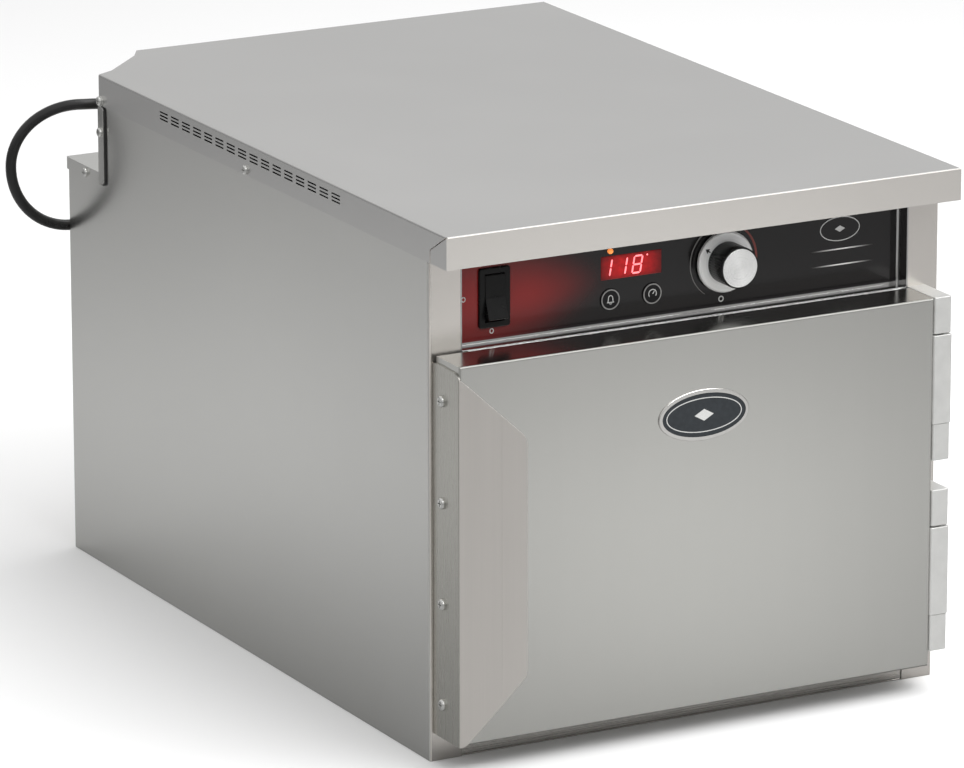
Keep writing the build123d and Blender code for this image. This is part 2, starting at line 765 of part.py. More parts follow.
def hinge_moving_knuckles():
    """Middle knuckles, screwed to the door edge."""
    blocks = []
    for top in hinge_tops:
        _, mid_high, mid_low, _, _ = hinge_levels(top)
        block = knuckle(door_right, knuckle_right + mid_proud, door_front - mid_proud, front - 1.2,
                        mid_low, mid_high, pin_r + run_clearance)
        block = drill(block, hinge_edge_points(), (1, 0, 0), depth=60)
        for point in hinge_edge_points():
            seat_at = (knuckle_right - edge_screw_sink, point[1], point[2])
            block -= rod(seat_at, (1, 0, 0), screw_head_r + 0.1, 8)
        blocks.append(block)
    return Compound(children=blocks)


def hinge_pins():
    """Pin through the three knuckles of each hinge, under the cap of the upper one."""
    pins = []
    for top in hinge_tops:
        low = hinge_levels(top)[-1] + 0.2
        high = top - knuckle_cap - 0.2
        pin = rod((pin_x, pin_y, low), (0, 0, 1), pin_r, high - low)
        pins.append(fillet(pin.edges().group_by(Axis.Z)[-1], 0.8))
    return Compound(children=pins)


def hinge_mount_screws():
    """Screws from inside the stile into the fixed knuckles."""
    points = [(x, front + sheet, z) for x, _, z in hinge_mount_points()]
    return screws(points, (0, 1, 0), 12)


def hinge_edge_screws():
    """Screws through the moving knuckles into the door edge."""
    points = [(knuckle_right - edge_screw_sink, y, z) for _, y, z in hinge_edge_points()]
    return screws(points, (1, 0, 0), 22)


# ---------------------------------------------------------------- controls
def switch_cutout():
    """Opening in the panel for the power switch housing."""
    x, z = switch_at
    return Pos(x, panel_y, z) * Box(switch_hole[0], 8, switch_hole[1])


def panel_holes(shape):
    """Openings shared by the control panel sheet and its overlay."""
    shape = shape - switch_cutout()
    x, z = display_at
    shape = shape - Pos(x, panel_y, z) * Box(display_size[0], 8, display_size[1])
    for x, z in button_at:
        shape = drill(shape, [(x, panel_y, z)], (0, 1, 0), radius=button_r + 0.08)
    x, z = lamp_at
    shape = drill(shape, [(x, panel_y, z)], (0, 1, 0), radius=lamp_r + 0.05)
    x, z = knob_at
    return drill(shape, [(x, panel_y, z)], (0, 1, 0), radius=bush_r + 0.15)


def control_panel():
    """Recessed tray that carries the controls, with a ledge along its foot."""
    edge = recess_half_w - seat
    tray = span(-edge, edge, front, panel_y + sheet, ledge_z - sheet, wall_top)
    tray -= span(-edge + sheet, edge - sheet, front - 1, panel_y, ledge_z, body_h)
    corners = tray.edges().filter_by(Axis.Z).filter_by(
        lambda e: abs(e.center().Y - panel_y) < 0.01 and abs(abs(e.center().X) - edge + sheet) < 0.01)
    tray = fillet(corners, recess_corner_r)
    tray = fillet(tray.edges().filter_by(Axis.X).group_by(Axis.Y)[0].group_by(Axis.Z)[-1], 0.8)
    lip = span(-edge + 6, edge - 6, front - 0.8, front, ledge_z - 7, ledge_z - 0.8)
    return panel_holes(tray + lip)


def control_overlay():
    """Printed film on the recessed panel."""
    film = 0.5
    margin = 2.2
    edge = recess_half_w - seat - sheet - recess_corner_r - 0.2
    sheet_face = span(-edge, edge, panel_y - film, panel_y, ledge_z + margin, wall_top)
    return panel_holes(sheet_face)


def display_window():
    """Tinted lens over the digits."""
    x, z = display_at
    w, h = display_size
    lens = Pos(x, panel_y, z) * Box(w - 0.2, 1.8, h - 0.2, align=(CEN, CEN, CEN))
    return fillet(lens.edges().group_by(Axis.Y)[0], 0.4)


def display_module():
    """Three digit light module behind the lens."""
    x, z = display_at
    return Pos(x, panel_y + 1.2, z) * Box(54, 8, 19, align=(CEN, MIN, CEN))


def indicator_lamp():
    """Small domed lamp above the display."""
    x, z = lamp_at
    stem = rod((x, panel_y + 9, z), (0, -1, 0), lamp_r, 10.2)
    dome = Pos(x, panel_y - 1.2, z) * Sphere(lamp_r)
    return stem + (dome & span(x - 5, x + 5, panel_y - 6, panel_y - 1, z - 5, z + 5))


def push_button(index):
    """Round key with a collar behind the panel and a stem to its contact."""
    x, z = button_at[index]
    cap = rod((x, panel_y + sheet + 0.2, z), (0, -1, 0), button_r, 2.9)
    cap = fillet(cap.edges().group_by(Axis.Y)[0], 0.5)
    collar = rod((x, panel_y + sheet + 0.2, z), (0, 1, 0), button_r + 1.2, 1.0)
    stem = rod((x, panel_y + sheet + 0.2, z), (0, 1, 0), 2.0, 6.2)
    return cap + collar + stem


def controller_board():
    """Printed circuit board with key contacts, relay, chip, two capacitors and four standoffs."""
    y0 = panel_y + board_gap
    x0, x1, z0, z1 = board_box
    face_y = y0 + board_t
    board = span(x0, x1, y0, face_y, z0, z1)
    for x, z in button_at:
        board += Pos(x, y0, z) * Box(6, board_t, 6, align=(CEN, MAX, CEN))
    board += Pos(x0 + 24, face_y, z1 - 18) * Box(20, 16, 16, align=(CEN, MIN, CEN))
    board += Pos(-50, face_y, z0 + 18) * Box(34, 3, 12, align=(CEN, MIN, CEN))
    for x in (x1 - 36, x1 - 22):
        board += rod((x, face_y, z1 - 14), (0, 1, 0), 6, 14)
    for x in (x0 + 8, x1 - 8):
        for z in (z0 + 6, z1 - 6):
            board += rod((x, y0, z), (0, -1, 0), 2.5, board_gap - sheet)
    return board


def switch_housing():
    """Bezel and body of the rocker switch with rear tabs."""
    x, z = switch_at
    face_y = panel_y - 0.5
    bezel_t = 2.4
    flat = RectangleRounded(switch_bezel[0], switch_bezel[1], 2.5)
    bezel = Pos(x, face_y, z) * Rot(90, 0, 0) * extrude(flat, bezel_t)
    bezel = fillet(bezel.edges().group_by(Axis.Y)[0], 1.0)
    body = span(x - 10.5, x + 10.5, face_y, panel_y + 26, z - 22, z + 22)
    w, h = switch_open
    well = span(x - w / 2, x + w / 2, face_y - bezel_t - 1, panel_y + 10, z - h / 2, z + h / 2)
    housing = bezel + body - well
    for dz in (-13, 0, 13):
        housing += Pos(x, panel_y + 26, z + dz) * Box(6.3, 9, 0.8, align=(CEN, MIN, CEN))
    return housing


def rocker():
    """Rocker key, modelled with its upper end pressed in."""
    x, z = switch_at
    half_l = switch_open[1] / 2 - 1.35
    half_t = switch_open[0] / 2 - 0.25
    end_out, mid_out, foot_half, foot_in = 6.5, 3.4, 13.0, 4.5
    profile = [(-half_l, end_out), (0, mid_out), (half_l, end_out), (half_l, 1.0),
               (foot_half, -foot_in), (-foot_half, -foot_in), (-half_l, 1.0)]
    points = [(0, -out, up) for up, out in profile]
    side = make_face(Polyline(*points, close=True))
    key = extrude(side, half_t, both=True)
    crown = key.edges().filter_by(Axis.X).sort_by(Axis.Y)[:2]
    key = fillet(crown, 1.4)
    key = fillet(key.edges().filter_by(Axis.X).sort_by(lambda e: abs(e.center().Z) - e.center().Y)[0], 6.0)
    return Pos(x, panel_y, z) * Rot(-switch_tilt, 0, 0) * key


def thermostat_body():
    """Temperature selector behind the panel with a threaded bush."""
    x, z = knob_at
    y0 = panel_y + sheet
    body = span(x - 19, x + 19, y0, y0 + 24, z - 16, z + 16)
    bush = rod((x, y0 + 1, z), (0, -1, 0), bush_r, 3.4)
    bore = rod((x, y0 + 20, z), (0, -1, 0), shaft_r + run_clearance, 40)
    return body + bush - bore


def thermostat_nut():
    """Thin hexagon nut on the bush."""
    x, z = knob_at
    y0 = panel_y - 0.5
    flat = RegularPolygon(7.5, 6, major_radius=False)
    nut = Pos(x, y0, z) * Rot(90, 0, 0) * extrude(flat, 1.3)
    return nut - rod((x, y0 + 1, z), (0, -1, 0), bush_r + 0.03, 5)


def thermostat_shaft():
    """Spindle with a flat where the knob grips it."""
    x, z = knob_at
    start = panel_y + 18
    spindle = rod((x, start, z), (0, -1, 0), shaft_r, start - shaft_front)
    return spindle - span(x - 5, x + 5, shaft_front - 1, dial_back - dial_t, z + shaft_flat, z + 5)


def knob_dial():
    """Silver skirt disc with a rolled edge."""
    x, z = knob_at
    disc = rod((x, dial_back, z), (0, -1, 0), dial_r, dial_t)
    disc = chamfer(disc.edges().group_by(Axis.Y)[0], 1.2)
    return disc - rod((x, dial_back + 1, z), (0, -1, 0), shaft_r, 8)


def control_knob():
    """Black knob body with fine grip flutes and a seat for its silver cap."""
    x, z = knob_at
    back_y = dial_back - dial_t
    length = back_y - knob_front
    body = rod((x, back_y, z), (0, -1, 0), knob_r, length)
    body = chamfer(body.edges().group_by(Axis.Y)[0], 0.8)
    flute_count = 48
    flute_r = 0.55
    for i in range(flute_count):
        angle = 2 * math.pi * i / flute_count
        fx = x + (knob_r + 0.2) * math.cos(angle)
        fz = z + (knob_r + 0.2) * math.sin(angle)
        body -= rod((fx, back_y - 2.0, fz), (0, -1, 0), flute_r, length - 4.0)
    body -= rod((x, knob_front + 0.9, z), (0, -1, 0), knob_cap_r + 0.02, 4)
    bore = rod((x, back_y, z), (0, -1, 0), shaft_r, back_y - shaft_front + 0.2)
    bore -= span(x - 5, x + 5, shaft_front - 1, back_y + 1, z + shaft_flat, z + 5)
    return body - bore


def knob_cap():
    """Turned aluminium disc pressed into the knob face."""
    x, z = knob_at
    cap = rod((x, knob_front + 0.9, z), (0, -1, 0), knob_cap_r, 1.3)
    return chamfer(cap.edges().group_by(Axis.Y)[0], 0.4)


# ---------------------------------------------------------------- electrical parts on the deck
def terminal_block():
    """Mains terminal strip."""
    x0, x1, y0, y1 = terminal_box
    floor_z = deck_z + sheet
    wall, pitch, count = 3.0, 13.6, 4
    block = span(x0, x1, y0, y1, floor_z, floor_z + 16)
    for i in range(count):
        x = x0 + 7.0 + i * pitch
        block -= span(x - 4.5, x + 4.5, y0 + wall, y1 - wall, floor_z + 10, floor_z + 20)
    return block


def transformer():
    """Low voltage supply for the controller."""
    x, y = transformer_at
    floor_z = deck_z + sheet
    foot = Pos(x, y, floor_z) * Box(56, 50, 7, align=(CEN, CEN, MIN))
    core = Pos(x, y, floor_z + 7) * Box(48, 42, 38, align=(CEN, CEN, MIN))
    coil = Pos(x, y, floor_z + 13) * Box(32, 58, 26, align=(CEN, CEN, MIN))
    return foot + core + coil


def high_limit():
    """Disc cut-out that stops the heater if it overheats."""
    x, y = high_limit_at
    floor_z = deck_z + sheet
    can_h, cap_h = 9.0, 4.0
    cut_out = rod((x, y, floor_z), (0, 0, 1), 9.0, can_h)
    cut_out += rod((x, y, floor_z + can_h), (0, 0, 1), 6.5, cap_h)
    for side in (-1, 1):
        cut_out += Pos(x + side * 4.0, y, floor_z + can_h + cap_h) * Box(0.8, 6, 8, align=(CEN, CEN, MIN))
    return cut_out


def temperature_probe():
    """Sheathed sensor that hangs into the cavity."""
    x, y = probe_at
    stem_low = cavity_top - 32
    stem = rod((x, y, stem_low), (0, 0, 1), 3.0, 78)
    collar = rod((x, y, cavity_top - 2.6), (0, 0, 1), 6.0, 2.5)
    return fillet((stem + collar).edges().group_by(Axis.Z)[0], 2.0)


def wire_run(points):
    """Single insulated wire through the given points."""
    path = Spline(*points)
    profile = Plane(origin=path @ 0, z_dir=path % 0) * Circle(wire_r)
    return sweep(profile, path=path)


def wiring_loom():
    """Wires between the terminals, switch, controller and blower."""
    z = deck_z + sheet + 9
    x, sz = switch_at
    runs = [
        [(-178, 142, z + 4), (-190, 20, z), (-200, -160, z), (x - 3, -250, z + 6), (x, -288, sz - 13)],
        [(-164, 142, z + 4), (-170, 40, z), (-150, -140, z), (-110, -260, z + 8), (-90, -290, 400)],
        [(-151 + 8, 160, z + 9), (-110, 168, z + 6), (-80, 150, z + 12), (-46, 134, z + 18)],
        [(-143, 166, z + 9), (-100, 225, z + 4), (-60, 246, z + 6), (-34, 240, z + 10)],
    ]
    return Compound(children=[wire_run(points) for points in runs])


# ---------------------------------------------------------------- blower and heater
def blower_motor():
    """Motor can on a square foot above the deck, with a bored output end."""
    z0 = deck_z + sheet
    foot = Pos(0, blower_y, z0) * Box(96, 96, motor_foot_t, align=(CEN, CEN, MIN))
    foot = fillet(foot.edges().filter_by(Axis.Z), 8)
    can = rod((0, blower_y, z0 + motor_foot_t), (0, 0, 1), motor_r, 52)
    can = fillet(can.edges().group_by(Axis.Z)[-1], 4)
    cap = rod((0, blower_y, z0 + 55), (0, 0, 1), 12, 5)
    bore = rod((0, blower_y, z0 - 1), (0, 0, 1), blower_shaft_r + run_clearance, 40)
    motor = foot + can + cap - bore
    return drill(motor, motor_screw_points(), (0, 0, 1))


def blower_wheel():
    """Radial wheel with backward curved blades on its long spindle."""
    plate = rod((0, blower_y, wheel_high - 1.2), (0, 0, 1), wheel_r, 1.2)
    hub_low = wheel_low + 6
    spindle_top = deck_z + sheet + 32
    hub = rod((0, blower_y, hub_low), (0, 0, 1), 10, wheel_high - wheel_low - 4)
    spindle = rod((0, blower_y, hub_low), (0, 0, 1), blower_shaft_r, spindle_top - hub_low)
    ring = rod((0, blower_y, wheel_low), (0, 0, 1), wheel_r, 1.2)
    ring -= rod((0, blower_y, wheel_low - 1), (0, 0, 1), 40, 4)
    inner = (26.0, 0.0)
    outer = (wheel_r * math.cos(math.radians(38)) - 0.8, wheel_r * math.sin(math.radians(38)) - 0.8)
    middle = (42.0, 10.0)
    blade_line = ThreePointArc(inner, middle, outer)
    blade = extrude(trace(blade_line, line_width=1.2), wheel_high - wheel_low - 0.6)
    wheel = plate + hub + spindle + ring
    for i in range(blade_count):
        turn = 360.0 * i / blade_count
        wheel += Pos(0, blower_y, wheel_low + 0.3) * Rot(0, 0, turn) * blade
    return wheel


def heater_posts(z):
    """Two points where the heater legs pass through a sheet."""
    x, y = heater_leg_at
    return [(-x, y, z), (x, y, z)]


def heater_element():
    """Tubular element bent round the blower wheel, with legs up to the deck."""
    left, right = heater_posts(heater_z)
    reach = 98.0
    near = blower_y - 105.0
    far = left[1]
    top = deck_z + 16
    points = [(left[0], far, top), (left[0], far, heater_z), (-reach, far, heater_z),
              (-reach, near, heater_z), (reach, near, heater_z), (reach, far, heater_z),
              (right[0], far, heater_z), (right[0], far, top)]
    path = FilletPolyline(*points, radius=14)
    profile = Plane(origin=points[0], z_dir=(0, 0, -1)) * Circle(heater_r)
    return sweep(profile, path=path)


def air_duct():
    """Perforated tray under the cavity ceiling that guides air over the heater."""
    top = cavity_top - seat
    duct = span(-duct_half_w, duct_half_w, duct_front, duct_back, duct_low, top)
    duct -= span(-duct_half_w + sheet, duct_half_w - sheet, duct_front + sheet, duct_back - sheet,
                 duct_low + sheet, top + 1)
    flange = 10.0
    rim = span(-duct_half_w - flange, duct_half_w + flange, duct_front - flange, duct_back + flange,
               top - sheet, top)
    duct += rim - span(-duct_half_w + sheet, duct_half_w - sheet, duct_front + sheet, duct_back - sheet,
                       top - 3, top + 1)
    holes = []
    for ring in range(1, 6):
        count = 6 * ring
        for i in range(count):
            angle = 2 * math.pi * i / count
            x = ring * 9.0 * math.cos(angle)
            y = blower_y + ring * 9.0 * math.sin(angle)
            holes.append(Pos(x, y, duct_low) * Cylinder(3.0, 4))
    for i in range(9):
        y = duct_front + 32 + i * 30
        for side in (-1, 1):
            holes.append(Pos(side * duct_half_w, y, duct_low + 24) * Box(6, 18, 10))
    return duct - Compound(children=holes)


# ---------------------------------------------------------------- pan racks
def stud_points(side):
    """Studs on the cavity wall that carry a rack."""
    return [(side * cavity_half_w, y, z) for y in upright_y for z in stud_z]


def rack_studs():
    """Headed studs in both cavity walls."""
    studs = []
    for side in (-1, 1):
        for _, y, z in stud_points(side):
            shank = rod((side * (cavity_half_w + 5), y, z), (-side, 0, 0), 3.0, 8.9)
            head = rod((side * (cavity_half_w - 3.7), y, z), (-side, 0, 0), 5.5, 2.0)
            head = fillet(head.edges().filter_by(GeomType.CIRCLE).sort_by(
                lambda e: abs(e.center().X))[0], 0.8)
            nut = rod((side * (cavity_half_w + sheet), y, z), (side, 0, 0), 5.5, 3.2)
            studs.append(shank + head + nut)
    return Compound(children=studs)


def pan_rack(side):
    """Rack of four angle runners on two uprights with keyhole slots."""
    wall_gap = 1.3
    x_wall = cavity_half_w - wall_gap
    x_face = x_wall - 2.0
    runner_t = 1.2
    runner_w = 24.0
    low, high = 58.0, 264.0
    rack = None
    for y in upright_y:
        x0, x1 = sorted((side * x_wall, side * x_face))
        bar = span(x0, x1, y - upright_w / 2, y + upright_w / 2, low, high)
        for z in stud_z:
            bar -= span(x0 - 1, x1 + 1, y - 3.3, y + 3.3, z - rack_lift, z)
            bar -= rod((x0 - 1, y, z), (1, 0, 0), 3.3, 5)
            bar -= rod((x0 - 1, y, z - rack_lift), (1, 0, 0), 6.2, 5)
        rack = bar if rack is None else rack + bar
    for z in rack_levels:
        x0, x1 = sorted((side * x_face, side * (x_face - runner_t)))
        rack += span(x0, x1, rack_front, rack_back, z, z + 14)
        x0, x1 = sorted((side * x_face, side * (x_face - runner_w)))
        rack += span(x0, x1, rack_front, rack_back, z, z + runner_t)
    return rack


NODES = {
    "left_side_panel": lambda: side_panel(-1),
    "right_side_panel": lambda: side_panel(1),
    "back_panel": back_panel,
    "base_panel": base_panel,
    "bottom_rail": bottom_rail,
    "cavity_liner": cavity_liner,
    "insulation_batts": insulation_batts,
    "component_deck": component_deck,
    "top_cover": top_cover,
    "notch_cover": notch_cover,
    "corner_strap": corner_strap,
    "corner_seal": corner_seal,
    "cord_ledge": cord_ledge,
    "casing_screws": casing_screws,
    "cord_clamp": cord_clamp,
    "strain_relief": strain_relief,
    "power_cord": power_cord,
    "power_plug": power_plug,
    "door_skin": door_skin,
    "door_liner": door_liner,
    "door_insulation": door_insulation,
    "door_gasket": door_gasket,
    "door_badge": door_badge,
    "door_pull": door_pull,
    "pull_screws": pull_screws,
    "magnetic_catch": magnetic_catch,
    "catch_strike": catch_strike,
    "hinge_fixed_knuckles": hinge_fixed_knuckles,
    "hinge_moving_knuckles": hinge_moving_knuckles,
    "hinge_pins": hinge_pins,
    "hinge_mount_screws": hinge_mount_screws,
    "hinge_edge_screws": hinge_edge_screws,
    "control_panel": control_panel,
    "control_overlay": control_overlay,
    "display_window": display_window,
    "display_module": display_module,
    "indicator_lamp": indicator_lamp,
    "alarm_button": lambda: push_button(0),
    "recall_button": lambda: push_button(1),
    "controller_board": controller_board,
    "switch_housing": switch_housing,
    "switch_rocker": rocker,
    "thermostat_body": thermostat_body,
    "thermostat_nut": thermostat_nut,
    "thermostat_shaft": thermostat_shaft,
    "knob_dial": knob_dial,
    "control_knob": control_knob,
    "knob_cap": knob_cap,
    "terminal_block": terminal_block,
    "transformer": transformer,
    "high_limit": high_limit,
    "temperature_probe": temperature_probe,
    "wiring_loom": wiring_loom,
    "blower_motor": blower_motor,
    "blower_wheel": blower_wheel,
    "heater_element": heater_element,
    "air_duct": air_duct,
    "rack_studs": rack_studs,
    "rack_left": lambda: pan_rack(-1),
    "rack_right": lambda: pan_rack(1),
}

os.makedirs("parts", exist_ok=True)
for name, make in NODES.items():
    export_step(make(), f"parts/{name}.step")
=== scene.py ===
"""Looks for the countertop heated holding cabinet: materials, printed graphics, light and camera."""
import math

import bmesh
import bpy
from mathutils import Matrix, Vector


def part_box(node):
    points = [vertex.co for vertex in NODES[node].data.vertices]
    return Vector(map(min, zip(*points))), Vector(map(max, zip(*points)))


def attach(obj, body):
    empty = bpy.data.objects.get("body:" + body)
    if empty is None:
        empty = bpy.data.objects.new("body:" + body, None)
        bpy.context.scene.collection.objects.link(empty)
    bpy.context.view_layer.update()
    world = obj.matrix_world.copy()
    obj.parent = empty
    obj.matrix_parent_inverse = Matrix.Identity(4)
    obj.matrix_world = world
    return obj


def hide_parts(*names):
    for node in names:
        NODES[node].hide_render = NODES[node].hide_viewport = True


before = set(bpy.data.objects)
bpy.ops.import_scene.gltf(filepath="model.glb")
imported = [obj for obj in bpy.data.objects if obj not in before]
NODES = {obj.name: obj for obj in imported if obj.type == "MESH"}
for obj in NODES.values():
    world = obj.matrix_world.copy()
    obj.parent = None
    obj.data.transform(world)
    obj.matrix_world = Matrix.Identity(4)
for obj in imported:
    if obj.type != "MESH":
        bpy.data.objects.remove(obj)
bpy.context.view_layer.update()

MM = 0.001
BADGE_RIM = 3.4 * MM                 # width of the bright rim round the badge's field
FRONT_VIEW = Matrix(((1, 0, 0), (0, 0, -1), (0, 1, 0)))      # stands a print's x, y up as x, z
PRINT_GAP = 0.01 * MM                # between a print and the face it is on


def centre(node):
    """Middle of a CAD node's box."""
    low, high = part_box(node)
    return (low + high) / 2


# ---------------------------------------------------------------- shader graph helper
class Graph:
    """Builds the node tree of one material around its Principled shader."""

    def __init__(self, name):
        self.material = bpy.data.materials.new(name)
        self.material.use_nodes = True
        self.tree = self.material.node_tree
        self.shader = self.tree.nodes["Principled BSDF"]
        coordinates = self.add("ShaderNodeTexCoord")
        self.point = coordinates.outputs["Object"]
        self.facing = coordinates.outputs["Normal"]

    def add(self, kind, **settings):
        node = self.tree.nodes.new(kind)
        for key, value in settings.items():
            setattr(node, key, value)
        return node

    def feed(self, socket, source):
        if isinstance(source, bpy.types.NodeSocket):
            self.tree.links.new(source, socket)
        elif source is not None:
            socket.default_value = source

    def math(self, operation, *sources):
        node = self.add("ShaderNodeMath", operation=operation)
        for socket, source in zip(node.inputs, sources):
            self.feed(socket, source)
        return node.outputs[0]

    def vector_math(self, operation, *sources):
        node = self.add("ShaderNodeVectorMath", operation=operation)
        for socket, source in zip(node.inputs, sources):
            self.feed(socket, source)
        return node.outputs[0]

    def split(self, vector):
        node = self.add("ShaderNodeSeparateXYZ")
        self.feed(node.inputs[0], vector)
        return node.outputs

    def join(self, x, y, z=0.0):
        node = self.add("ShaderNodeCombineXYZ")
        for socket, source in zip(node.inputs, (x, y, z)):
            self.feed(socket, source)
        return node.outputs[0]

    def noise(self, vector, scale, detail, roughness):
        node = self.add("ShaderNodeTexNoise")
        self.feed(node.inputs["Vector"], vector)
        node.inputs["Scale"].default_value = scale
        node.inputs["Detail"].default_value = detail
        node.inputs["Roughness"].default_value = roughness
        return node.outputs[0]

    def remap(self, source, from_low, from_high, to_low, to_high, smooth=False):
        node = self.add("ShaderNodeMapRange", interpolation_type="SMOOTHSTEP" if smooth else "LINEAR")
        for socket, value in zip(node.inputs, (source, from_low, from_high, to_low, to_high)):
            self.feed(socket, value)
        return node.outputs[0]

    def mix(self, share, first, second, kind="RGBA"):
        node = self.add("ShaderNodeMix", data_type=kind)
        sockets = [s for s in node.inputs if s.enabled]
        for socket, source in zip(sockets, (share, first, second)):
            self.feed(socket, source)
        return [s for s in node.outputs if s.enabled][0]

    def scaled(self, colour, factor):
        node = self.add("ShaderNodeVectorMath", operation="SCALE")
        self.feed(node.inputs[0], colour)
        self.feed(node.inputs["Scale"], factor)
        return node.outputs[0]

    def to_world(self, vector):
        """Object direction as a world direction."""
        node = self.add("ShaderNodeVectorTransform", vector_type="VECTOR",
                        convert_from="OBJECT", convert_to="WORLD")
        self.feed(node.inputs[0], vector)
        return node.outputs[0]

    def bump(self, height, strength, distance, normal=None):
        node = self.add("ShaderNodeBump")
        node.inputs["Strength"].default_value = strength
        node.inputs["Distance"].default_value = distance
        self.feed(node.inputs["Height"], height)
        self.feed(node.inputs["Normal"], normal)
        return node.outputs[0]

    def soft_edge(self, radius):
        node = self.add("ShaderNodeBevel", samples=4)
        node.inputs["Radius"].default_value = radius
        return node.outputs[0]

    def set(self, **sources):
        names = {"colour": "Base Color", "metallic": "Metallic", "roughness": "Roughness", "normal": "Normal",
                 "anisotropic": "Anisotropic", "tangent": "Tangent", "coat": "Coat Weight",
                 "coat_roughness": "Coat Roughness", "emission": "Emission Color",
                 "glow": "Emission Strength", "specular": "Specular IOR Level", "sheen": "Sheen Weight"}
        for key, source in sources.items():
            self.feed(self.shader.inputs[names[key]], source)
        return self.material


def rgb(red, green, blue):
    return (red, green, blue, 1.0)


# ---------------------------------------------------------------- metals
# grain scales across and along the brushing, in cycles to the metre
FINE_GRAIN = 1500.0
LONG_GRAIN = 9.0
BAND_GRAIN = 130.0
BAND_LENGTH = 2.0
GRAIN_HEIGHT = 0.2 * MM
FACE_TURN = 0.7          # a face whose normal passes this share of an axis belongs to that axis
EDGE_TURN = 0.985        # below this share of every axis a surface is a rounded edge
EDGE_DULLNESS = 0.30     # roughness added there
EDGE_RISE = 0.17         # from this share of Z up to EDGE_TURN a wall rolls over into a level face
# the next value is painted shade: it darkens the colour on those rolled edges to dim their highlight
PAINTED_EDGE_SHADE = 0.65        # brightness left there
AXES = {"x": (1, 0, 0), "y": (0, 1, 0), "z": (0, 0, 1)}


def face_flags(g):
    """Masks of the faces that look sideways and of those that look up or down."""
    x, _, z = g.split(g.facing)
    side = g.math("GREATER_THAN", g.math("ABSOLUTE", x), FACE_TURN)
    level = g.math("GREATER_THAN", g.math("ABSOLUTE", z), FACE_TURN)
    return side, level


def rolled_edge(g):
    """1 on the rounded edges between flat faces, 0 on the flats."""
    x, y, z = g.split(g.facing)
    flat = g.math("MAXIMUM", g.math("ABSOLUTE", y), g.math("ABSOLUTE", z))
    widest = g.math("MAXIMUM", g.math("ABSOLUTE", x), flat)
    return g.math("LESS_THAN", widest, EDGE_TURN)


def level_edge(g):
    """1 where a wall rolls over into a level face; painted shade goes there."""
    height = g.math("ABSOLUTE", g.split(g.facing)[2])
    risen = g.math("GREATER_THAN", height, EDGE_RISE)
    return g.math("MULTIPLY", risen, g.math("LESS_THAN", height, EDGE_TURN))


def brushing(g, front, side, level):
    """Coordinates across and along the grain, and its cross direction in the world.

    front, side and level give the axis across and the axis along, for faces that look along Y, X and Z.
    """
    on_side, on_level = face_flags(g)
    position = dict(zip("xyz", g.split(g.point)))

    def pick(index):
        value = g.mix(on_side, position[front[index]], position[side[index]], "FLOAT")
        return g.mix(on_level, value, position[level[index]], "FLOAT")

    cross = g.mix(on_side, AXES[front[0]], AXES[side[0]], "VECTOR")
    cross = g.mix(on_level, cross, AXES[level[0]], "VECTOR")
    return pick(0), pick(1), g.to_world(cross)


# across and along, for front, side and level faces
GRAIN_AROUND = ("zx", "zy", "xy")        # level all the way round the walls
GRAIN_UPRIGHT = ("xz", "yz", "xy")       # upright on every wall
GRAIN_WIDTH = ("zx", "yz", "yx")         # along the width, down over the sides


def brushed_steel(name, tint, roughness, grain=GRAIN_AROUND, anisotropic=0.6, depth=1.0, edge=0.0007,
                  painted_light_front_tint=None, level_roughness=None):
    """Stainless sheet: grain in colour, roughness and height, faint bands and handling smudges. Front faces
    may take a lighter tint of painted light, and edges that roll into level faces get painted shade.
    """
    g = Graph(name)
    across, along, cross = brushing(g, *grain)
    fine_at = g.join(g.math("MULTIPLY", across, FINE_GRAIN), g.math("MULTIPLY", along, LONG_GRAIN))
    band_at = g.join(g.math("MULTIPLY", across, BAND_GRAIN), g.math("MULTIPLY", along, BAND_LENGTH))
    fine = g.noise(fine_at, 1.0, 3.0, 0.6)
    band = g.noise(band_at, 1.0, 2.0, 0.5)
    cloud = g.noise(g.point, 4.0, 2.0, 0.5)
    smudge = g.noise(g.point, 8.0, 2.0, 0.5)
    on_side, on_level = face_flags(g)
    # painted light: faces that look neither sideways nor up or down take the lighter front tint instead of
    # the sheet's own tint
    tint_with_painted_front_light = tint
    if painted_light_front_tint is not None:
        tint_with_painted_front_light = g.mix(on_level, g.mix(on_side, painted_light_front_tint, tint, "VECTOR"), tint, "VECTOR")
    shade = g.math("ADD", g.remap(fine, 0.3, 0.7, -0.03 * depth, 0.03 * depth),
                   g.remap(band, 0.3, 0.7, 1.0 - 0.018 * depth, 1.0 + 0.018 * depth))
    shade = g.math("ADD", shade, g.remap(cloud, 0.35, 0.65, -0.012, 0.012))
    # painted shade: darkens the colour on edges that roll into level faces, dimming their highlight
    shade = g.math("MULTIPLY", shade, g.remap(level_edge(g), 0.0, 1.0, 1.0, PAINTED_EDGE_SHADE))
    base = g.mix(on_level, roughness, roughness if level_roughness is None else level_roughness, "FLOAT")
    rough = g.math("ADD", base, g.remap(fine, 0.3, 0.7, -0.045 * depth, 0.045 * depth))
    rough = g.math("ADD", rough, g.remap(smudge, 0.5, 0.8, 0.0, 0.02))
    rough = g.math("ADD", rough, g.math("MULTIPLY", rolled_edge(g), EDGE_DULLNESS))
    normal = g.bump(fine, 0.08 * depth, GRAIN_HEIGHT, g.soft_edge(edge))
    return g.set(colour=g.scaled(tint_with_painted_front_light, shade), metallic=1.0, roughness=rough, normal=normal,
                 anisotropic=anisotropic, tangent=cross)


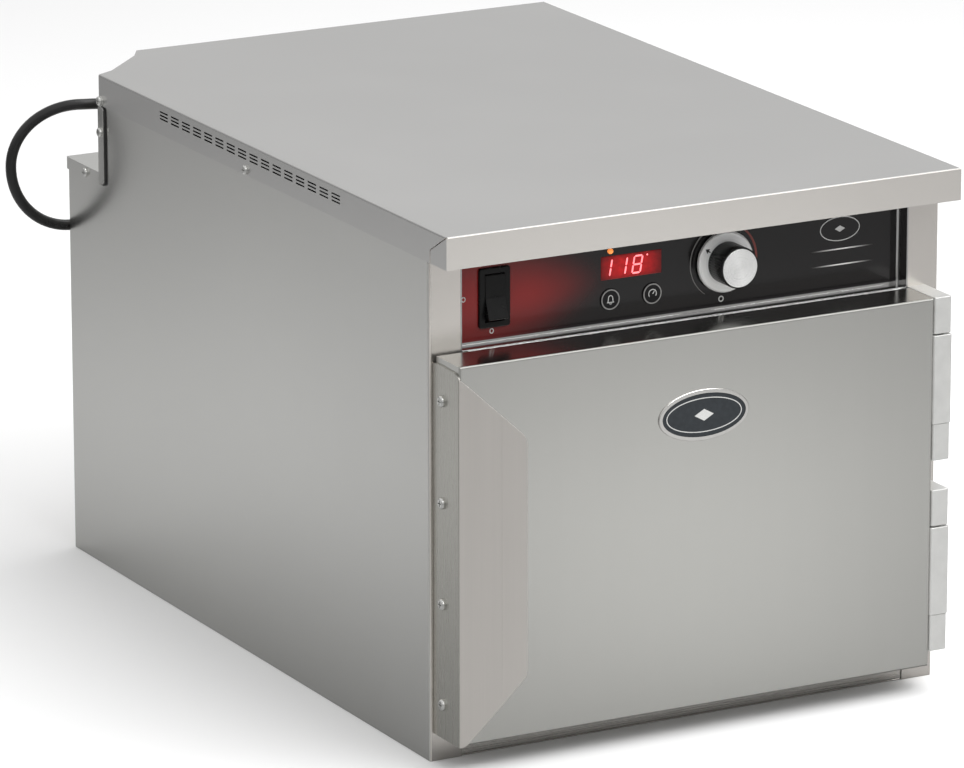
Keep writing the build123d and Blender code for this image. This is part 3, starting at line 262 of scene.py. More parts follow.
def polished_steel(name, tint, roughness):
    """Bright sheet with faint drawing lines and finger marks."""
    g = Graph(name)
    cloud = g.noise(g.point, 9.0, 3.0, 0.6)
    marks = g.noise(g.point, 60.0, 4.0, 0.7)
    rough = g.math("ADD", g.remap(cloud, 0.3, 0.7, roughness, roughness + 0.05),
                   g.remap(marks, 0.5, 0.8, 0.0, 0.05))
    normal = g.bump(marks, 0.04, 0.0002, g.soft_edge(0.0006))
    return g.set(colour=g.scaled(tint, g.remap(cloud, 0.3, 0.7, 0.96, 1.03)), metallic=1.0,
                 roughness=rough, normal=normal)


def cast_metal(name, tint, roughness, metallic=1.0):
    """Tumbled die cast surface: mottled shade, small pits and soft edges."""
    g = Graph(name)
    mottle = g.noise(g.point, 90.0, 4.0, 0.6)
    pits = g.noise(g.point, 700.0, 2.0, 0.5)
    rough = g.remap(mottle, 0.3, 0.7, roughness - 0.06, roughness + 0.08)
    height = g.math("ADD", g.math("MULTIPLY", mottle, 0.6), g.math("MULTIPLY", pits, 0.4))
    normal = g.bump(height, 0.18, 0.0004, g.soft_edge(0.0008))
    return g.set(colour=g.scaled(tint, g.remap(mottle, 0.3, 0.7, 0.95, 1.03)), metallic=metallic,
                 roughness=rough, normal=normal)


FINE_RINGS = 4200.0      # turning marks, in cycles to the metre of radius
GROOVES = 1100.0         # wider marks among them
PAINTED_FAN_LEAN = math.radians(-45.0)       # heading of the painted highlight fan on a turned face


def turned_metal(name, tint, roughness, middle, anisotropic, metallic):
    """Disc faced on a lathe: rings round its middle, and a painted highlight fan in its colour, like the
    bright fan that rings give under light.
    """
    g = Graph(name)
    x, _, z = g.split(g.vector_math("SUBTRACT", g.point, tuple(middle)))
    radius = g.math("SQRT", g.math("ADD", g.math("MULTIPLY", x, x), g.math("MULTIPLY", z, z)))
    rings = g.noise(g.join(g.math("MULTIPLY", radius, FINE_RINGS), 0.0), 1.0, 2.0, 0.5)
    grooves = g.noise(g.join(g.math("MULTIPLY", radius, GROOVES), 0.0), 1.0, 2.0, 0.6)
    # painted highlight: the colour brightens and darkens in a fan of two sectors round the middle
    turn = g.math("MULTIPLY", g.math("SUBTRACT", g.math("ARCTAN2", z, x), PAINTED_FAN_LEAN), 2.0)
    painted_highlight_fan = g.remap(g.math("COSINE", turn), -1.0, 1.0, 0.90, 1.04)
    shade = g.math("MULTIPLY", painted_highlight_fan, g.remap(grooves, 0.3, 0.7, 0.88, 1.05))
    shade = g.math("MULTIPLY", shade, g.remap(rings, 0.3, 0.7, 0.95, 1.02))
    outward = g.vector_math("NORMALIZE", g.join(x, 0.0, z))
    normal = g.bump(rings, 0.08, 0.0002, g.soft_edge(0.0004))
    return g.set(colour=g.scaled(tint, shade), metallic=metallic,
                 roughness=g.remap(rings, 0.3, 0.7, roughness - 0.03, roughness + 0.05),
                 normal=normal, anisotropic=anisotropic, tangent=g.to_world(outward))


# ---------------------------------------------------------------- plastics, rubber and fillings
def moulded_plastic(name, tint, roughness, grain=0.25, texture=900.0, coat=0.0, specular=0.35):
    """Moulded plastic with a fine spark texture and a little wear in its sheen."""
    g = Graph(name)
    spark = g.noise(g.point, texture, 2.0, 0.6)
    wear = g.noise(g.point, 70.0, 3.0, 0.6)
    rough = g.remap(wear, 0.3, 0.7, roughness - 0.05, roughness + 0.06)
    shade = g.remap(wear, 0.3, 0.7, 0.9, 1.15)
    normal = g.bump(spark, grain, 0.00015, g.soft_edge(0.0004))
    return g.set(colour=g.scaled(tint, shade), roughness=rough, normal=normal, coat=coat,
                 coat_roughness=0.08, specular=specular)


def rubber(name, tint, roughness):
    """Smooth extruded rubber with a faint bloom and draw lines."""
    g = Graph(name)
    bloom = g.noise(g.point, 45.0, 4.0, 0.6)
    skin = g.noise(g.point, 600.0, 2.0, 0.5)
    rough = g.remap(bloom, 0.3, 0.7, roughness - 0.06, roughness + 0.1)
    return g.set(colour=g.scaled(tint, g.remap(bloom, 0.35, 0.7, 0.85, 1.4)), roughness=rough,
                 normal=g.bump(skin, 0.12, 0.0002))


FIBRES = 60.0            # tangle along the layers, in cycles to the metre
FIBRE_LAYERS = 420.0     # and through them


def mineral_wool(name, tint):
    """Matted fibres in tangled layers."""
    g = Graph(name)
    x, y, z = g.split(g.point)
    layers = g.noise(g.join(g.math("MULTIPLY", x, FIBRES), g.math("MULTIPLY", y, FIBRES),
                            g.math("MULTIPLY", z, FIBRE_LAYERS)), 1.0, 5.0, 0.7)
    return g.set(colour=g.scaled(tint, g.remap(layers, 0.3, 0.7, 0.7, 1.15)), roughness=0.95,
                 normal=g.bump(layers, 0.9, 0.002), sheen=0.3)


TRACK_CELLS = 160.0      # cells between the tracks, to the metre
TRACK_HALF = 0.06        # half width of a track, as a share of a cell


def circuit_board(name):
    """Green lacquered board with lighter copper tracks under the lacquer."""
    g = Graph(name)
    x, _, z = g.split(g.point)
    cells = g.add("ShaderNodeTexVoronoi", feature="DISTANCE_TO_EDGE")
    at = g.join(g.math("MULTIPLY", x, TRACK_CELLS), 0.0, g.math("MULTIPLY", z, TRACK_CELLS))
    g.feed(cells.inputs["Vector"], at)
    tracks = g.math("LESS_THAN", cells.outputs[0], TRACK_HALF)
    colour = g.mix(tracks, rgb(0.012, 0.085, 0.03), rgb(0.03, 0.17, 0.06))
    return g.set(colour=colour, roughness=0.35, coat=0.4, normal=g.bump(tracks, 0.1, 0.0002))


GLOW_DEAD = 10.0 * MM            # right of the lens's left side, where the glow has died away
GLOW_FULL = 30.0 * MM            # right of the switch's middle, where it is full
TAIL_THIN = (20.0 * MM, 7.0 * MM)        # place right of the lens's left side, and half height
TAIL_WIDE = (12.0 * MM, 42.0 * MM)       # place right of the film's left side, and half height
GLOW_RISE = (3.0 * MM, 1.0 * MM)         # above the switch's middle, at the lens and at the switch
FILM_BLACK = (0.0070, 0.0060, 0.0062)
FILM_RED = (0.235, 0.010, 0.009)


def overlay_film(name):
    """Glossy printed film: a red glow that narrows from the switch towards the display, on black."""
    g = Graph(name)
    film_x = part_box("control_overlay")[0].x
    switch = centre("switch_housing")
    lens_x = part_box("display_window")[0].x
    x, _, z = g.split(g.point)
    fade = g.remap(x, lens_x + GLOW_DEAD, switch.x + GLOW_FULL, 0.0, 1.0, smooth=True)
    tail = g.remap(x, lens_x + TAIL_THIN[0], film_x + TAIL_WIDE[0], TAIL_THIN[1], TAIL_WIDE[1])
    beam_z = g.remap(x, lens_x, switch.x, switch.z + GLOW_RISE[0], switch.z + GLOW_RISE[1])
    height = g.math("DIVIDE", g.math("ABSOLUTE", g.math("SUBTRACT", z, beam_z)), tail)
    beam = g.math("EXPONENT", g.math("MULTIPLY", g.math("MULTIPLY", height, height), -1.0))
    dots = g.noise(g.point, 1800.0, 1.0, 0.5)
    haze = g.noise(g.point, 14.0, 2.0, 0.5)
    glow = g.math("MULTIPLY", g.math("MULTIPLY", fade, beam), g.remap(haze, 0.3, 0.7, 0.9, 1.1))
    colour = g.mix(glow, rgb(*FILM_BLACK), rgb(*FILM_RED))
    rough = g.remap(haze, 0.3, 0.7, 0.13, 0.18)
    return g.set(colour=colour, roughness=rough, specular=0.30, coat=0.25, coat_roughness=0.10,
                 normal=g.bump(dots, 0.05, 0.0001))


def four_power(g, share):
    """Flat topped fall from 1 to 0 with distance from the middle."""
    square = g.math("MULTIPLY", share, share)
    return g.math("EXPONENT", g.math("MULTIPLY", g.math("MULTIPLY", square, square), -1.0))


HALO_SHIFT = 1.0 * MM                # left of the lens's middle
HALO_HALF = (24.5 * MM, 9.8 * MM)    # half width and half height


def display_lens(name):
    """Tinted lens, lit from behind: a red haze round the digits that dies away before the edges."""
    g = Graph(name)
    middle = centre("display_window")
    x, _, z = g.split(g.point)
    dx = g.math("DIVIDE", g.math("SUBTRACT", x, middle.x - HALO_SHIFT), HALO_HALF[0])
    dz = g.math("DIVIDE", g.math("SUBTRACT", z, middle.z), HALO_HALF[1])
    halo = g.math("MULTIPLY", four_power(g, dx), four_power(g, dz))
    cells = g.noise(g.point, 260.0, 2.0, 0.5)
    glow = g.math("MULTIPLY", g.remap(halo, 0.0, 1.0, 0.035, 0.44), g.remap(cells, 0.3, 0.7, 0.8, 1.2))
    return g.set(colour=rgb(0.03, 0.003, 0.003), roughness=0.14, specular=0.3,
                 emission=rgb(1.0, 0.012, 0.016), glow=glow, normal=g.bump(cells, 0.02, 0.0001))


def glowing(name, colour, strength):
    """Lit part of a display or lamp, a little uneven."""
    g = Graph(name)
    uneven = g.noise(g.point, 400.0, 2.0, 0.5)
    return g.set(colour=rgb(*colour), emission=rgb(*colour), roughness=0.3,
                 glow=g.remap(uneven, 0.3, 0.7, strength * 0.9, strength * 1.1))


def enamel_plate(name, tint, middle, half_w, half_h):
    """Plain enamel field with fine orange peel, inside a bright metal rim."""
    g = Graph(name)
    x, _, z = g.split(g.vector_math("SUBTRACT", g.point, tuple(middle)))
    u = g.math("DIVIDE", x, half_w)
    v = g.math("DIVIDE", z, half_h)
    reach = g.math("ADD", g.math("MULTIPLY", u, u), g.math("MULTIPLY", v, v))
    rim = g.math("GREATER_THAN", reach, 1.0)
    peel = g.noise(g.point, 260.0, 2.0, 0.5)
    field = g.scaled(tint, g.remap(peel, 0.3, 0.7, 0.88, 1.12))
    return g.set(colour=g.mix(rim, field, rgb(0.62, 0.61, 0.59)), metallic=rim,
                 roughness=g.remap(peel, 0.3, 0.7, 0.18, 0.26), specular=0.3,
                 normal=g.bump(peel, 0.05, 0.0003))


def ink(name, colour, roughness=0.4):
    """Screen printed ink with a slightly dry surface."""
    g = Graph(name)
    dry = g.noise(g.point, 1400.0, 2.0, 0.6)
    return g.set(colour=g.scaled(colour, g.remap(dry, 0.3, 0.7, 0.88, 1.08)), roughness=roughness,
                 normal=g.bump(dry, 0.08, 0.0001))


def fading_ink(name, colour, middle_x, half_w):
    """Printed rule that is bright in its middle and fades towards both ends."""
    g = Graph(name)
    x = g.split(g.point)[0]
    reach = g.math("DIVIDE", g.math("ABSOLUTE", g.math("SUBTRACT", x, middle_x)), half_w)
    share = g.remap(reach, 0.0, 1.0, 1.0, 0.0, smooth=True)
    dry = g.noise(g.point, 1400.0, 2.0, 0.6)
    tint = g.scaled(colour, g.remap(dry, 0.3, 0.7, 0.9, 1.05))
    return g.set(colour=g.mix(share, rgb(0.012, 0.010, 0.010), tint), roughness=0.4,
                 normal=g.bump(dry, 0.08, 0.0001))


SCALE_COOL = -20.0 * MM      # from the knob's middle, where the scale is all grey
SCALE_HOT = 24.0 * MM        # and where it is all red


def scale_ink(name, middle):
    """Temperature scale: grey at the cool end, red at the hot end."""
    g = Graph(name)
    x = g.split(g.point)[0]
    share = g.remap(g.math("SUBTRACT", x, middle.x), SCALE_COOL, SCALE_HOT, 0.0, 1.0, smooth=True)
    dry = g.noise(g.point, 1400.0, 2.0, 0.6)
    colour = g.mix(share, rgb(0.16, 0.155, 0.15), rgb(0.20, 0.028, 0.020))
    return g.set(colour=g.scaled(colour, g.remap(dry, 0.3, 0.7, 0.9, 1.05)), roughness=0.4,
                 normal=g.bump(dry, 0.08, 0.0001))


def paint(node, material):
    """Gives a CAD node one material."""
    slots = NODES[node].data.materials
    slots.clear()
    slots.append(material)


def paint_casing():
    """Sheet metal."""
    # the casing's front faces get a lighter tint of painted light
    casing = brushed_steel("casing_brushed", (0.625, 0.623, 0.603), 0.25, GRAIN_AROUND, depth=0.12,
                           painted_light_front_tint=(0.76, 0.725, 0.685))
    for node in ("left_side_panel", "right_side_panel", "back_panel", "base_panel", "notch_cover",
                 "cord_ledge"):
        paint(node, casing)
    paint("bottom_rail", brushed_steel("rail_brushed", (0.76, 0.73, 0.69), 0.27, GRAIN_AROUND, depth=0.7))
    strap = brushed_steel("strap_brushed", (0.60, 0.597, 0.578), 0.22, GRAIN_UPRIGHT, depth=0.6)
    paint("corner_strap", strap)
    # the cover's front lip gets a much lighter tint of painted light than its top and sides
    cover = brushed_steel("cover_brushed", (0.60, 0.595, 0.585), 0.25, GRAIN_WIDTH, anisotropic=0.4,
                          depth=0.08, edge=0.0003, painted_light_front_tint=(0.92, 0.885, 0.84))
    paint("top_cover", cover)
    door = brushed_steel("door_brushed", (0.535, 0.533, 0.508), 0.21, GRAIN_UPRIGHT, depth=0.35,
                         edge=0.0003, level_roughness=0.19)
    paint("door_skin", door)
    paint("control_panel", polished_steel("tray_polished", (0.54, 0.535, 0.53), 0.09))
    liner = brushed_steel("liner_rolled", (0.58, 0.58, 0.57), 0.2, GRAIN_AROUND, depth=0.7)
    for node in ("cavity_liner", "door_liner", "air_duct", "rack_left", "rack_right"):
        paint(node, liner)
    dull = brushed_steel("galvanised", (0.50, 0.52, 0.54), 0.4, GRAIN_AROUND, depth=0.5)
    for node in ("component_deck", "blower_wheel"):
        paint(node, dull)


def paint_hardware():
    """Screws, pins, hinges, heater and painted housings."""
    bright = polished_steel("screw_bright", (0.66, 0.66, 0.64), 0.11)
    for node in ("casing_screws", "pull_screws", "hinge_mount_screws", "hinge_edge_screws", "rack_studs",
                 "cord_clamp", "thermostat_nut", "catch_strike", "hinge_pins", "thermostat_shaft",
                 "temperature_probe", "high_limit"):
        paint(node, bright)
    hinge = cast_metal("hinge_cast", (0.62, 0.62, 0.605), 0.38, 0.6)
    for node in ("hinge_fixed_knuckles", "hinge_moving_knuckles"):
        paint(node, hinge)
    paint("heater_element", cast_metal("heater_oxide", (0.22, 0.19, 0.17), 0.45))
    motor = moulded_plastic("motor_enamel", (0.02, 0.02, 0.022), 0.42, 0.4, 500.0, 0.2)
    for node in ("blower_motor", "transformer"):
        paint(node, motor)


def paint_soft():
    """Insulation, seals, cord and wires."""
    paint("insulation_batts", mineral_wool("wool", (0.62, 0.52, 0.30)))
    paint("door_insulation", mineral_wool("foam", (0.75, 0.70, 0.52)))
    seal = rubber("seal_rubber", (0.012, 0.012, 0.012), 0.5)
    for node in ("door_gasket", "corner_seal"):
        paint(node, seal)
    cord = rubber("cord_rubber", (0.006, 0.006, 0.006), 0.28)
    for node in ("power_cord", "power_plug", "strain_relief"):
        paint(node, cord)
    paint("wiring_loom", moulded_plastic("wire_jacket", (0.35, 0.03, 0.02), 0.4))


def paint_controls():
    """Panel, display, switch, keys, knob, board and badge."""
    knob = centre("control_knob")
    paint("control_overlay", overlay_film("overlay_film"))
    paint("display_window", display_lens("display_lens"))
    paint("display_module", moulded_plastic("module_black", (0.015, 0.015, 0.015), 0.5))
    paint("terminal_block", moulded_plastic("terminal_black", (0.02, 0.02, 0.02), 0.5))
    paint("indicator_lamp", glowing("lamp_amber", (0.95, 0.30, 0.07), 0.75))
    black = moulded_plastic("control_black", (0.006, 0.006, 0.006), 0.30, 0.18, specular=0.2)
    for node in ("switch_housing", "switch_rocker", "thermostat_body", "magnetic_catch"):
        paint(node, black)
    paint("control_knob", moulded_plastic("knob_black", (0.005, 0.005, 0.005), 0.24, 0.10, specular=0.3))
    key = moulded_plastic("key_black", (0.005, 0.0045, 0.005), 0.2, 0.06, specular=0.25)
    for node in ("alarm_button", "recall_button"):
        paint(node, key)
    paint("controller_board", circuit_board("board_green"))
    # both turned discs carry a painted highlight fan in their colour
    paint("knob_dial", turned_metal("dial_turned", (0.96, 0.96, 0.95), 0.42, knob, 0.35, 0.25))
    paint("knob_cap", turned_metal("cap_turned", (0.90, 0.90, 0.89), 0.26, knob, 0.85, 0.75))
    low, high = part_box("door_badge")
    half_w = (high.x - low.x) / 2 - BADGE_RIM
    half_h = (high.z - low.z) / 2 - BADGE_RIM
    plate = enamel_plate("badge_enamel", (0.022, 0.026, 0.030), centre("door_badge"), half_w, half_h)
    paint("door_badge", plate)


# ---------------------------------------------------------------- folded pull
PULL_CREASE = 35.0 * MM              # from the pull's left side to its fold
PULL_FOLD = math.radians(2.0)        # turn of the strip past the fold, towards the door
JOGGLE_RUN = 0.8 * MM                # width over which that strip steps forward
JOGGLE_RISE = 0.18 * MM              # and how far it steps
WELD = 0.001 * MM                    # points nearer than this become one


def add_folded_pull():
    """Door pull with a shallow fold and joggle down its grip, in place of the plain CAD pull."""
    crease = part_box("door_pull")[0].x + PULL_CREASE
    mesh = bmesh.new()
    mesh.from_mesh(NODES["door_pull"].data)
    bmesh.ops.remove_doubles(mesh, verts=mesh.verts, dist=WELD)
    for x in (crease, crease + JOGGLE_RUN):
        everything = mesh.verts[:] + mesh.edges[:] + mesh.faces[:]
        bmesh.ops.bisect_plane(mesh, geom=everything, plane_co=(x, 0, 0), plane_no=(1, 0, 0))
    for vertex in mesh.verts:
        past = max(0.0, vertex.co.x - crease)
        step = min(1.0, past / JOGGLE_RUN) * JOGGLE_RISE
        vertex.co.y += past * math.tan(PULL_FOLD) - step
    for face in mesh.faces:
        face.smooth = False
    data = bpy.data.meshes.new("door_pull_folded")
    mesh.to_mesh(data)
    mesh.free()
    piece = bpy.data.objects.new("door_pull_folded", data)
    bpy.context.scene.collection.objects.link(piece)
    # the pull's grip gets a lighter tint of painted light than its edge flange
    steel = brushed_steel("pull_brushed", (0.50, 0.49, 0.455), 0.27, GRAIN_UPRIGHT, depth=0.6,
                          painted_light_front_tint=(0.74, 0.71, 0.675))
    data.materials.append(steel)
    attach(piece, "door")
    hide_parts("door_pull")


# ---------------------------------------------------------------- flat prints and small reliefs
def solid_from_faces(name, outlines, at, thickness, body, material):
    """Raises closed 2-D outlines, given in metres, into thin pieces in front of a point, as one object."""
    mesh = bmesh.new()
    for outline in outlines:
        ring = [mesh.verts.new((x, y, 0.0)) for x, y in outline]
        face = mesh.faces.new(ring)
        face.normal_update()
        if face.normal.z < 0:
            face.normal_flip()
        lifted = bmesh.ops.extrude_face_region(mesh, geom=[face])
        moved = [v for v in lifted["geom"] if isinstance(v, bmesh.types.BMVert)]
        bmesh.ops.translate(mesh, verts=moved, vec=(0, 0, thickness))
        bmesh.ops.reverse_faces(mesh, faces=[face])
    bmesh.ops.transform(mesh, matrix=FRONT_VIEW.to_4x4(), verts=mesh.verts)
    bmesh.ops.translate(mesh, verts=mesh.verts, vec=at)
    data = bpy.data.meshes.new(name)
    mesh.to_mesh(data)
    mesh.free()
    piece = bpy.data.objects.new(name, data)
    bpy.context.scene.collection.objects.link(piece)
    data.materials.append(material)
    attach(piece, body)


def strip(points, width):
    """Outline of a stroke along 2-D points. Its width is a number or a function of the share of length."""
    left, right = [], []
    count = len(points)
    for i, (x, y) in enumerate(points):
        ahead = points[min(i + 1, count - 1)]
        behind = points[max(i - 1, 0)]
        direction = Vector((ahead[0] - behind[0], ahead[1] - behind[1])).normalized()
        half = (width(i / (count - 1)) if callable(width) else width) / 2
        left.append((x - direction.y * half, y + direction.x * half))
        right.append((x + direction.y * half, y - direction.x * half))
    return left + right[::-1]


def arc(radius_x, radius_y, start, stop, steps, middle=(0.0, 0.0)):
    """Points on an ellipse between two angles in degrees."""
    angles = [math.radians(start + (stop - start) * i / steps) for i in range(steps + 1)]
    return [(middle[0] + radius_x * math.cos(a), middle[1] + radius_y * math.sin(a)) for a in angles]


RING_PARTS = 4
PART_STEPS = 18


def ring_strokes(radius_x, radius_y, width, middle=(0.0, 0.0)):
    """A closed ring as a few touching strokes."""
    turn = 360.0 / RING_PARTS
    strokes = []
    for i in range(RING_PARTS):
        points = arc(radius_x, radius_y, i * turn, (i + 1) * turn, PART_STEPS, middle)
        strokes.append(strip(points, width))
    return strokes


def lozenge(half_w, half_h):
    """Plain four cornered figure."""
    return [(half_w, 0.0), (0.0, half_h), (-half_w, 0.0), (0.0, -half_h)]


SEGMENTS = {"1": "bc", "8": "abcdefg"}
READING = "118"
DIGIT_SLANT = 0.173                  # lean to the right for each unit of height
DIGIT_PITCH = 14.35 * MM
DIGIT_WIDE = 7.6 * MM
DIGIT_TALL = 14.2 * MM
DIGIT_STROKE = 1.45 * MM
BAR_GAP = 0.16                       # left free at each end of a bar, as a share of the stroke
DIGIT_MARGIN = 0.2 * MM
DIGIT_THICK = 0.12 * MM
DEGREE_R = 0.75 * MM                 # degree mark, after the last digit
DEGREE_DROP = 0.1 * MM               # its middle, under the digits' tops


def digit_outlines(sign, left, low, wide, tall, stroke, slant):
    """Seven segment figure as slanted bars with pointed ends."""
    half = tall / 2
    bars = {
        "a": ((0, tall), (wide, tall)), "g": ((0, half), (wide, half)), "d": ((0, 0), (wide, 0)),
        "f": ((0, half), (0, tall)), "b": ((wide, half), (wide, tall)),
        "e": ((0, 0), (0, half)), "c": ((wide, 0), (wide, half)),
    }
    outlines = []
    for key in SEGMENTS[sign]:
        (x0, y0), (x1, y1) = bars[key]
        gap = stroke * BAR_GAP
        along = Vector((x1 - x0, y1 - y0)).normalized()
        side = Vector((-along.y, along.x)) * stroke / 2
        start = Vector((x0, y0)) + along * gap
        end = Vector((x1, y1)) - along * gap
        tip = along * stroke / 2
        corners = [start, start + tip + side, end - tip + side, end, end - tip - side, start + tip - side]
        outlines.append([(left + p.x + slant * p.y, low + p.y) for p in corners])
    return outlines


def add_display_digits():
    """Lit figures on the lens."""
    low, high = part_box("display_window")
    base = (high.z - low.z - DIGIT_TALL) / 2 + DIGIT_MARGIN
    outlines = []
    for index, sign in enumerate(READING):
        left = DIGIT_MARGIN + index * DIGIT_PITCH
        outlines += digit_outlines(sign, left, base, DIGIT_WIDE, DIGIT_TALL, DIGIT_STROKE, DIGIT_SLANT)
    degree = (len(READING) * DIGIT_PITCH + DIGIT_MARGIN, base + DIGIT_TALL - DEGREE_DROP)
    outlines += [arc(DEGREE_R, DEGREE_R, 0, 330, 11, degree)]
    at = Vector((low.x, low.y - PRINT_GAP, low.z))
    light = glowing("digit_light", (1.0, 0.20, 0.22), 1.55)
    solid_from_faces("display_digits", outlines, at, DIGIT_THICK, "cabinet", light)


PRINT_THICK = 0.06 * MM
SWITCH_MARK = (1.6 * MM, 1.9 * MM, 0.65 * MM)        # half width, half height and stroke of a ring
SWITCH_MARK_LEFT = 1.9 * MM          # the lower mark, left of the switch's middle
SWITCH_MARK_DROP = 3.3 * MM          # and under the housing
SIDE_MARK_AT = (-27.9 * MM, 1.0 * MM)        # from the switch's middle
OFF_MARK = (2.1 * MM, 2.1 * MM, 1.0 * MM)
OFF_MARK_AT = (-1.9 * MM, -32.3 * MM)        # from the knob's middle
SCALE_R = 31.5 * MM
SCALE_TURN = (236, -10)              # degrees, from the cool end to the hot end
SCALE_STEPS = 90
SCALE_THIN = 0.5 * MM                # stroke at the cool end
SCALE_GROWTH = 1.6 * MM              # and how much wider it gets


def scale_width(share):
    """The scale's stroke widens from its cool end to its hot end."""
    return SCALE_THIN + SCALE_GROWTH * share


def add_overlay_prints():
    """Marks, dial scale, rules and a plain oval printed on the overlay."""
    face_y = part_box("control_overlay")[0].y - PRINT_GAP
    white = ink("print_white", (0.62, 0.62, 0.61))
    switch = centre("switch_housing")
    knob = centre("knob_dial")
    on_switch = Vector((switch.x, face_y, switch.z))
    on_knob = Vector((knob.x, face_y, knob.z))
    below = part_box("switch_housing")[0].z - switch.z - SWITCH_MARK_DROP
    marks = ring_strokes(*SWITCH_MARK, (-SWITCH_MARK_LEFT, below))
    marks += ring_strokes(*SWITCH_MARK, SIDE_MARK_AT)
    solid_from_faces("switch_marks", marks, on_switch, PRINT_THICK, "cabinet", white)
    off_mark = ring_strokes(*OFF_MARK, OFF_MARK_AT)
    solid_from_faces("dial_off_mark", off_mark, on_knob, PRINT_THICK, "cabinet", white)
    scale = strip(arc(SCALE_R, SCALE_R, *SCALE_TURN, SCALE_STEPS), scale_width)
    solid_from_faces("dial_scale", [scale], on_knob, PRINT_THICK, "cabinet", scale_ink("scale_ink", knob))
    add_panel_rules(face_y)


RULES_IN = 53.2 * MM                 # middle of the rules, in from the overlay's right side
RULE_HALF = 30.0 * MM
RULE_STROKE = 1.1 * MM
RULE_HEIGHTS = {"upper_rule": 34.8 * MM, "lower_rule": 21.4 * MM}
OVAL = (18.9 * MM, 10.2 * MM, 0.8 * MM)
OVAL_LOZENGE = (5.0 * MM, 2.8 * MM)
OVAL_LEFT = 2.1 * MM                 # of the middle of the rules
OVAL_HEIGHT = 52.2 * MM              # above the overlay's lower side, like the rules


def add_panel_rules(face_y):
    """Two fading rules and a small plain oval at the right end of the overlay."""
    low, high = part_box("control_overlay")
    middle_x = high.x - RULES_IN
    silver = fading_ink("rule_silver", (0.80, 0.79, 0.78), middle_x, RULE_HALF)
    for name, height in RULE_HEIGHTS.items():
        stroke = strip([(-RULE_HALF, 0.0), (0.0, 0.0), (RULE_HALF, 0.0)], RULE_STROKE)
        at = Vector((middle_x, face_y, low.z + height))
        solid_from_faces(name, [stroke], at, PRINT_THICK, "cabinet", silver)
    pale = ink("emblem_silver", (0.50, 0.50, 0.49))
    figure = ring_strokes(*OVAL) + [lozenge(*OVAL_LOZENGE)]
    at = Vector((middle_x - OVAL_LEFT, face_y, low.z + OVAL_HEIGHT))
    solid_from_faces("overlay_oval", figure, at, PRINT_THICK, "cabinet", pale)


SIGN_STROKE = 0.8 * MM
CLAPPER_STROKE = 0.6 * MM
KEY_RING = (8.1 * MM, 8.1 * MM, 1.1 * MM)


def bell_sign():
    """Bell: its rim, its dome with straight sides, and its clapper."""
    dome = arc(2.0 * MM, 2.2 * MM, 180, 0, 12, (0.0, 1.2 * MM))
    sides = [(-2.4 * MM, -2.0 * MM)] + dome + [(2.4 * MM, -2.0 * MM)]
    rim = [(-3.4 * MM, -2.4 * MM), (3.4 * MM, -2.4 * MM)]
    clapper = arc(0.9 * MM, 0.9 * MM, 180, 360, 8, (0.0, -3.0 * MM))
    return [strip(rim, SIGN_STROKE), strip(sides, SIGN_STROKE), strip(clapper, CLAPPER_STROKE)]


def gauge_sign():
    """Gauge: an open arc and its needle."""
    face = arc(3.6 * MM, 3.6 * MM, 215, -35, 28)
    needle = [(0.0, -0.2 * MM), (1.9 * MM, 2.2 * MM)]
    return [strip(face, SIGN_STROKE), strip(needle, SIGN_STROKE)]


def add_key_prints():
    """Ring and simple sign on each key."""
    grey = ink("key_ring_grey", (0.23, 0.225, 0.22))
    pale = ink("key_sign_pale", (0.50, 0.50, 0.49))
    keys = (("alarm_button", "alarm_key", bell_sign()), ("recall_button", "recall_key", gauge_sign()))
    for node, body, sign in keys:
        at = centre(node)
        at.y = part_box(node)[0].y - PRINT_GAP
        solid_from_faces(node + "_ring", ring_strokes(*KEY_RING), at, PRINT_THICK, body, grey)
        solid_from_faces(node + "_sign", sign, at, PRINT_THICK, body, pale)


POINTER_REST = math.radians(146.8)
POINTER_TIP = 24.2 * MM              # from the knob's middle, as are the next two
POINTER_BARB = 20.6 * MM
POINTER_STEM = 18.6 * MM
BARB_HALF = 2.3 * MM
STEM_HALF = 0.5 * MM
POINTER_THICK = 0.08 * MM


def add_dial_pointer():
    """Printed arrow on the silver dial, ten o'clock at rest."""
    at = centre("knob_dial")
    at.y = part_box("knob_dial")[0].y - PRINT_GAP
    out = Vector((math.cos(POINTER_REST), math.sin(POINTER_REST)))
    side = Vector((-out.y, out.x))
    tip, tail, stem = out * POINTER_TIP, out * POINTER_BARB, out * POINTER_STEM
    barb, half = side * BARB_HALF, side * STEM_HALF
    arrow = [tip, tail + barb, tail + half, stem + half, stem - half, tail - half, tail - barb]
    black = ink("pointer_black", (0.012, 0.012, 0.012))
    outline = [(p.x, p.y) for p in arrow]
    solid_from_faces("dial_pointer", [outline], at, POINTER_THICK, "temperature_knob", black)


BADGE_SINK = 0.42 * MM               # depth of the relief's foot behind the rim
BADGE_INSET = 2.2 * BADGE_RIM        # of the line, from the badge's edge
BADGE_STROKE = 0.7 * MM
BADGE_LOZENGE = (9.0 * MM, 5.0 * MM)
BADGE_RELIEF = 0.3 * MM


def add_badge_relief():
    """Raised inset line and lozenge on the plain field of the door badge."""
    low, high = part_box("door_badge")
    at = (low + high) / 2
    at.y = low.y + BADGE_SINK
    line_w = (high.x - low.x) / 2 - BADGE_INSET
    line_h = (high.z - low.z) / 2 - BADGE_INSET
    figure = ring_strokes(line_w, line_h, BADGE_STROKE) + [lozenge(*BADGE_LOZENGE)]
    silver = ink("badge_silver", (0.55, 0.55, 0.54), 0.3)
    solid_from_faces("badge_figure", figure, at, BADGE_RELIEF, "door", silver)


